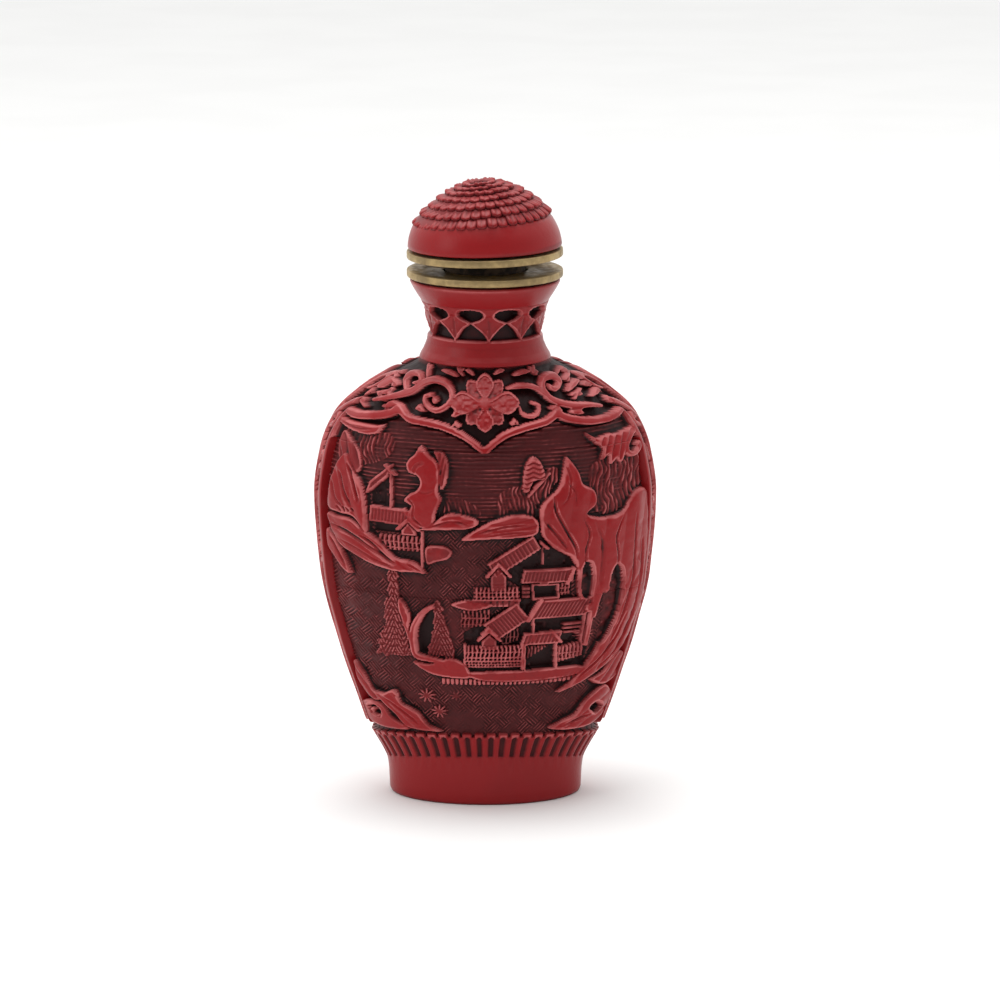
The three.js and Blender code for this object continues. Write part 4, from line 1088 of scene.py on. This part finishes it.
def scattered(name, shape, places, turns, sizes, material):
    """Copies of a small shape set at given places, turned and sized, made into one plain mesh."""
    mesh = bpy.data.meshes.new(name)
    mesh.from_pydata((np.asarray(places) * MM).tolist(), [], [])
    for key, values in (("turn", turns), ("size", sizes)):
        layer = mesh.attributes.new(key, "FLOAT_VECTOR", "POINT")
        layer.data.foreach_set("vector", np.asarray(values, float).ravel())
    holder = bpy.data.objects.new(name, mesh)
    bpy.context.scene.collection.objects.link(holder)
    tree = bpy.data.node_groups.new(name, "GeometryNodeTree")
    tree.interface.new_socket("Places", in_out="INPUT", socket_type="NodeSocketGeometry")
    shape_input = tree.interface.new_socket("Shape", in_out="INPUT", socket_type="NodeSocketObject")
    finish_input = tree.interface.new_socket("Finish", in_out="INPUT", socket_type="NodeSocketMaterial")
    tree.interface.new_socket("Copies", in_out="OUTPUT", socket_type="NodeSocketGeometry")
    entry = tree.nodes.new("NodeGroupInput")
    leave = tree.nodes.new("NodeGroupOutput")
    dots = tree.nodes.new("GeometryNodeMeshToPoints")
    info = tree.nodes.new("GeometryNodeObjectInfo")
    copies = tree.nodes.new("GeometryNodeInstanceOnPoints")
    whole = tree.nodes.new("GeometryNodeRealizeInstances")
    dress = tree.nodes.new("GeometryNodeSetMaterial")
    aim = tree.nodes.new("FunctionNodeEulerToRotation")
    named = {}
    for key in ("turn", "size"):
        named[key] = tree.nodes.new("GeometryNodeInputNamedAttribute")
        named[key].data_type = "FLOAT_VECTOR"
        named[key].inputs["Name"].default_value = key
    link = tree.links.new
    link(entry.outputs["Places"], dots.inputs["Mesh"])
    link(dots.outputs["Points"], copies.inputs["Points"])
    link(entry.outputs["Shape"], info.inputs["Object"])
    link(info.outputs["Geometry"], copies.inputs["Instance"])
    link(named["turn"].outputs["Attribute"], aim.inputs["Euler"])
    link(aim.outputs["Rotation"], copies.inputs["Rotation"])
    link(named["size"].outputs["Attribute"], copies.inputs["Scale"])
    link(copies.outputs["Instances"], whole.inputs["Geometry"])
    link(whole.outputs["Geometry"], dress.inputs["Geometry"])
    link(entry.outputs["Finish"], dress.inputs["Material"])
    link(dress.outputs["Geometry"], leave.inputs["Copies"])
    modifier = holder.modifiers.new("copies", "NODES")
    modifier.node_group = tree
    modifier[shape_input.identifier] = shape
    modifier[finish_input.identifier] = material
    graph = bpy.context.evaluated_depsgraph_get()
    made = bpy.data.meshes.new_from_object(holder.evaluated_get(graph))
    holder.modifiers.clear()
    holder.data = made
    bpy.data.objects.remove(shape)
    return holder


def pillow(name, outline, rows, material, depth):
    """A small closed plaque: rows of points across, each with its own height, over a flat underside."""
    columns = len(rows[0])
    points = [(x, -y, z) for row in rows for x, y, z in row]
    count = len(points)
    points += [(x, depth, z) for row in rows for x, y, z in row]
    ids = np.arange(count).reshape(len(rows), columns)
    faces = grid_quads(ids)
    faces += [face[::-1] for face in grid_quads(ids + count)]
    border = ids[0].tolist() + ids[1:, -1].tolist() + ids[-1, -2::-1].tolist() + ids[-2:0:-1, 0].tolist()
    for p, q in zip(border, border[1:] + border[:1]):
        faces.append((q, p, p + count, q + count))
    piece = new_piece(name, points, faces, [True] * len(faces), material)
    # Lower points toward each petal's rim take the darker colours of the height ramp, as painted shade between the
    # petals.
    heights = np.array([y for row in rows for x, y, z in row])
    paint_depth(piece, np.clip(0.25 + 0.75 * heights / max(heights.max(), 0.01), 0, 1), outline)
    return piece


columns = 600
turn = 2 * math.pi * np.arange(columns) / columns
rise = np.sqrt(np.cos(turn) ** 2 + 0.02)
low, high = 4.0 + 2.0 * rise, 7.6 + 1.75 * rise
fine = np.linspace(0, 2 * math.pi, 2001)
along = np.concatenate([[0], np.cumsum(np.hypot(np.diff(12.4 * np.sin(fine)), np.diff(8.6 * np.cos(fine))))])
pitch = along[-1] / WINDOWS
local = np.abs(np.mod(np.interp(turn, fine, along), pitch) - pitch / 2)
jitter = 0.04 * lattice(turn * 12, turn * 0, 1.3, 151)
rings, shown, hollow, crisp = [], [], [], []
for z, a, b in [(z, a, b) for a, b, z in FOOT_UNDER] + list(FOOT_SIDE):
    rings.append((a + 0 * turn, b + 0 * turn, z + 0 * turn))
    shown.append(0.9 + 0 * turn if z > 0.3 else 0.7 + 0 * turn)
    hollow.append(0 * turn)
for share in np.linspace(0, 1.28, 44):
    z = low + share * (high - low)
    part = min(share, 1)
    a = 11.95 + 1.95 * part ** 1.15 + 0.12
    b = 8.12 + 1.45 * part ** 1.15 + 0.12
    arch = 0.37 - 0.37 * np.clip((share - 0.74) / 0.14, 0, 1) ** 3
    window = np.clip((arch + jitter - local) / 0.12, 0, 1) * np.clip((share - 0.02) / 0.05, 0, 1) * (share < 0.9)
    notch = np.clip((local - 0.46 + 0.0 * jitter) / 0.12, 0, 1) * np.clip((share - 0.84) / 0.08, 0, 1)
    over = np.clip((share - 0.98) / 0.06, 0, 1)
    cut = np.maximum(np.maximum(0.34 * window, 0.75 * notch), 0.7 * over)
    rings.append((a - cut, b - cut, z))
    shown.append(np.clip(0.86 - 0.52 * window - 0.7 * notch - 0.45 * over, 0, 1) + 0.05 * lattice(turn * 12, z, 0.6, 152))
    hollow.append(-0.12 * window - 0.3 * notch + 0.05 * (0.8 < share < 0.97) * (local < 0.4))
outside = np.stack([np.stack([a * np.sin(turn), -b * np.cos(turn), z], axis=-1) for a, b, z in rings])
points = np.vstack([outside.reshape(-1, 3), [[0, 0, 1.2]], [[0, 0, 7.0]]])
ids = np.arange(outside.shape[0] * columns).reshape(-1, columns)
ids = np.hstack([ids, ids[:, :1]])
faces = grid_quads(ids)
smooth_faces = len(faces)
centre_low, centre_high = len(points) - 2, len(points) - 1
faces += [(ids[0, j + 1], ids[0, j], centre_low) for j in range(columns)]
faces += [(ids[-1, j], ids[-1, j + 1], centre_high) for j in range(columns)]
smooth = np.zeros(len(faces), bool)
smooth[:smooth_faces] = True
foot = new_piece("foot", points, [tuple(int(v) for v in face) for face in faces], smooth, RED_CARVED)
# The windows and notches are painted dark from their lower heights and negative cavity, as painted shade.
paint_depth(foot, np.clip(np.array(shown), 0, 1), np.array(hollow), np.clip(np.array(hollow) * 1.2, 0, 1))
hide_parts("bottle")
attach(foot, "root")


# ---- The brass rims ----------------------------------------------------------------------------------------------
# Two thin brass discs gone dull and olive: one caps the bottle's mouth, the other is fixed under the stopper.

BRASS = (0.42, 0.30, 0.135, 1)
BRASS_DULL = (0.22, 0.155, 0.075, 1)


def brass_finish(name):
    finish = Finish(name)
    cloud = finish.noise(260, 4, 0.6)
    grain = finish.noise(1500, 3, 0.6)
    finish.colour(finish.blend(finish.span(finish.sum(cloud, grain, 0.3), 0.45, 0.85), BRASS, BRASS_DULL))
    finish.roughness(finish.span(grain, 0.3, 0.7, 0.36, 0.6))
    finish.shader.inputs["Metallic"].default_value = 0.75
    finish.bump(finish.sum(grain, cloud, 1.0), 0.25, 0.00008)
    return finish.material


AGED_BRASS = brass_finish("aged_brass_rim")


def disc(name, low, high, radius, hole, material, tilt=0.0):
    """A flat ring with slightly rounded edges."""
    soft = 0.14
    section = [(hole, low + 0.02), (radius - soft, low), (radius - 0.04, low + 0.05), (radius, low + soft), (radius, high - soft),
               (radius - 0.04, high - 0.05), (radius - soft, high), (hole, high - 0.02)]
    columns = 128
    turns = 2 * math.pi * np.arange(columns) / columns
    wear = 1 + 0.0012 * np.sin(3 * turns + 0.4)
    points = []
    for r, z in section:
        r = r * (wear if r > hole else 1)
        points += np.stack([r * np.sin(turns), -r * np.cos(turns), np.full(columns, z)], axis=-1).tolist()
    points = tilted(np.array(points), tilt)
    faces = []
    for k in range(len(section)):
        low_ring, high_ring = k * columns, (k + 1) % len(section) * columns
        for j in range(columns):
            n = (j + 1) % columns
            faces.append((low_ring + j, low_ring + n, high_ring + n, high_ring + j))
    return new_piece(name, points, faces, [len(section) > k // columns > 0 for k in range(len(faces))], material)


def tilted(points, angle, pivot=66.2):
    """Points leaned about the depth axis, right side up for a positive angle."""
    x, z = points[:, 0], points[:, 2] - pivot
    leaned = points.copy()
    leaned[:, 0] = x * math.cos(angle) - z * math.sin(angle)
    leaned[:, 2] = pivot + x * math.sin(angle) + z * math.cos(angle)
    return leaned


rim = disc("mouth_rim", 64.0, 64.85, 9.42, 5.25, AGED_BRASS)
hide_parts("mouth_collar")
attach(rim, "root")
STOPPER_LEAN = 0.02
plate = disc("stopper_plate", 66.35, 67.24, 9.42, 2.2, AGED_BRASS, STOPPER_LEAN)
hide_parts("stopper_disc")
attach(plate, "root")


# ---- The cork ----------------------------------------------------------------------------------------------------
# A tapered plug of old dark cork that holds the stopper in the neck.

cork_finish = Finish("dark_cork_pitted")
pits = cork_finish.noise(900, 3, 0.6)
cork_finish.colour(cork_finish.blend(cork_finish.span(pits, 0.4, 0.6), (0.018, 0.011, 0.007, 1), (0.07, 0.042, 0.024, 1)))
cork_finish.shader.inputs["Roughness"].default_value = 0.85
cork_finish.bump(pits, 0.5, 0.0002)
CORK = ((57.0, 0, 0), (57.0, 3.9, 3.9), (57.15, 4.12, 4.12), (60, 4.4, 4.4), (63, 4.68, 4.68), (65.65, 4.88, 4.88), (65.8, 4.75, 4.75),
        (65.8, 0, 0))
cork = oval_lathe("cork", CORK, 72, cork_finish.material)
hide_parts("cork_plug")
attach(cork, "root")


# ---- The stopper's dome ------------------------------------------------------------------------------------------
# A half-dome of the same red resin, plain at its foot, with rows of small worn petals above. It sits a little askew
# on its plate.

DOME_Z = 67.55
DOME_R = 9.3
DOME_H = 7.95
PETAL_LEAN = 0.075


def dome_radius(z):
    share = np.clip(z / DOME_H, 0, 1)
    return DOME_R * (1 - share ** 1.9) ** 0.56


section = [(0.0, 0, 0), (0.0, DOME_R - 0.25, DOME_R - 0.25), (0.06, DOME_R - 0.08, DOME_R - 0.08), (0.2, DOME_R, DOME_R)]
for share in np.linspace(0, 1, 44)[1:-1]:
    z = DOME_H * math.sin(math.pi / 2 * share) ** 1.0
    if z > 0.3:
        r = float(dome_radius(z))
        r -= 0.28 * float(np.clip((z - 3.6) / 0.5, 0, 1))
        section.append((z - 0.25 * float(np.clip((z - 6) / 2, 0, 1)), max(r, 0.3), max(r, 0.3)))
section.append((DOME_H - 0.28, 0, 0))
dome = oval_lathe("stopper_dome_red", [(z + DOME_Z, a, b) for z, a, b in section], 128, RED_CARVED)
points = np.array([v.co for v in dome.data.vertices]) / MM
points = tilted(points, STOPPER_LEAN, 66.2)
dome.data.vertices.foreach_set("co", (points * MM).ravel())
above = points[:, 2] - DOME_Z - points[:, 0] * (STOPPER_LEAN + PETAL_LEAN)
paint_depth(dome, np.interp(above, (0, 0.2, 3.3, 4.2), (0.7, 0.95, 0.95, 0.6)), np.zeros(len(points)))

rows = []
across = np.array([-0.5, -0.44, -0.3, -0.12, 0, 0.12, 0.3, 0.44, 0.5])
for share, wide, proud in ((0, 0.45, 0.5), (0.05, 0.75, 1.0), (0.16, 0.95, 1.15), (0.4, 1, 1.0), (0.7, 1, 0.7), (1, 1, 0.3)):
    bulge = np.array([0.15, 0.6, 0.95, 0.8, 0.62, 0.8, 0.95, 0.6, 0.15]) * proud
    rows.append([(x * wide, 0.42 * y, share) for x, y in zip(across, bulge)])
tongue = pillow("dome_petal", np.array([0.0]), rows, RED_CARVED, 0.35)
rng = np.random.RandomState(7)
places, turns, sizes = [], [], []
level = 3.3
for row in range(7):
    step = 1.32 - 0.05 * row
    z = level
    r = float(dome_radius(z)) - (0.05, 0.12, 0.2, 0.25, 0.3, 0.3, 0.3)[row]
    count = max(5, int(round(2 * math.pi * max(r, 0.8) / 1.28)))
    slope = (float(dome_radius(z + 0.3)) - float(dome_radius(z))) / 0.3
    lean = math.atan(slope)
    for k in range(count):
        angle = 2 * math.pi * (k + 0.5 * (row % 2)) / count
        places.append((r * math.sin(angle), -r * math.cos(angle), z + DOME_Z))
        turns.append((lean - 0.22, 0.08 * rng.uniform(-1, 1), angle))
        sizes.append((2 * math.pi * r / count * 1.02, rng.uniform(0.6, 1.2), step * 1.3 * rng.uniform(0.88, 1.06)))
    level += step * math.cos(lean)
places = tilted(np.array(places), PETAL_LEAN, DOME_Z)
places = tilted(places, STOPPER_LEAN, 66.2)
petals = scattered("dome_petals", tongue, places, turns, sizes, RED_CARVED)
for piece in (dome, petals):
    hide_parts("stopper_dome")
    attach(piece, "root")


# ---- The studio --------------------------------------------------------------------------------------------------
# A pale floor under a broad soft light from above, with a weaker fill from the left.

FLOOR = 0.30
floor_mesh = bpy.data.meshes.new("floor")
floor_mesh.from_pydata([(-FLOOR * 8, -FLOOR * 5, 0), (FLOOR * 8, -FLOOR * 5, 0), (FLOOR * 8, FLOOR * 12, 0), (-FLOOR * 8, FLOOR * 12, 0)], [],
                       [(0, 1, 2, 3)])
floor = bpy.data.objects.new("floor", floor_mesh)
bpy.context.scene.collection.objects.link(floor)
paper = Finish("pale_paper")
paper.colour(paper.blend(paper.span(paper.noise(30, 2, 0.5), 0.3, 0.7), (0.93, 0.93, 0.92, 1), (0.95, 0.95, 0.94, 1)))
paper.shader.inputs["Roughness"].default_value = 0.9
floor_mesh.materials.append(paper.material)

world = bpy.data.worlds.new("studio")
world.use_nodes = True
sky = world.node_tree.nodes["Background"]
sky.inputs["Color"].default_value = (1.0, 1.0, 1.0, 1)
sky.inputs["Strength"].default_value = 1.0
around = world.node_tree.nodes.new("ShaderNodeTexCoord")
split = world.node_tree.nodes.new("ShaderNodeSeparateXYZ")
fade = world.node_tree.nodes.new("ShaderNodeMapRange")
fade.interpolation_type = "SMOOTHSTEP"
for number, value in zip((1, 2, 3, 4), (-0.95, 0.25, 0.42, 1.08)):
    fade.inputs[number].default_value = value
world.node_tree.links.new(around.outputs["Generated"], split.inputs[0])
world.node_tree.links.new(split.outputs["Y"], fade.inputs[0])
world.node_tree.links.new(fade.outputs[0], sky.inputs["Strength"])
bpy.context.scene.world = world


def soft_light(name, place, aim, size, watts, colour=(1, 1, 1)):
    """A square soft box that faces a point."""
    data = bpy.data.lights.new(name, "AREA")
    data.shape = "SQUARE"
    data.size = size
    data.energy = watts
    data.color = colour
    lamp = bpy.data.objects.new(name, data)
    bpy.context.scene.collection.objects.link(lamp)
    lamp.location = place
    away = np.array(aim) - np.array(place)
    pitch = math.atan2(math.hypot(away[0], away[1]), -away[2])
    lamp.rotation_euler = (pitch, 0, math.atan2(-away[0], away[1]))
    return lamp


soft_light("overhead", (-0.05, 0.05, 0.60), (0, 0, 0.04), 0.45, 2.1)
soft_light("fill_left", (-0.45, -0.25, 0.25), (0, 0, 0.04), 0.25, 0.35)

camera_data = bpy.data.cameras.new("camera")
camera_data.lens = 172.9
camera_data.sensor_width = 36
camera = bpy.data.objects.new("camera", camera_data)
bpy.context.scene.collection.objects.link(camera)
EYE = np.array((1.8, -571.0, 160.0))
TARGET = np.array((1.8, 0.0, 36.3))
camera.location = (EYE * MM).tolist()
fall = math.atan2(EYE[2] - TARGET[2], TARGET[1] - EYE[1])
camera.rotation_euler = (math.pi / 2 - fall, 0, 0)
bpy.context.scene.camera = camera
bpy.context.scene.view_settings.view_transform = "Standard"
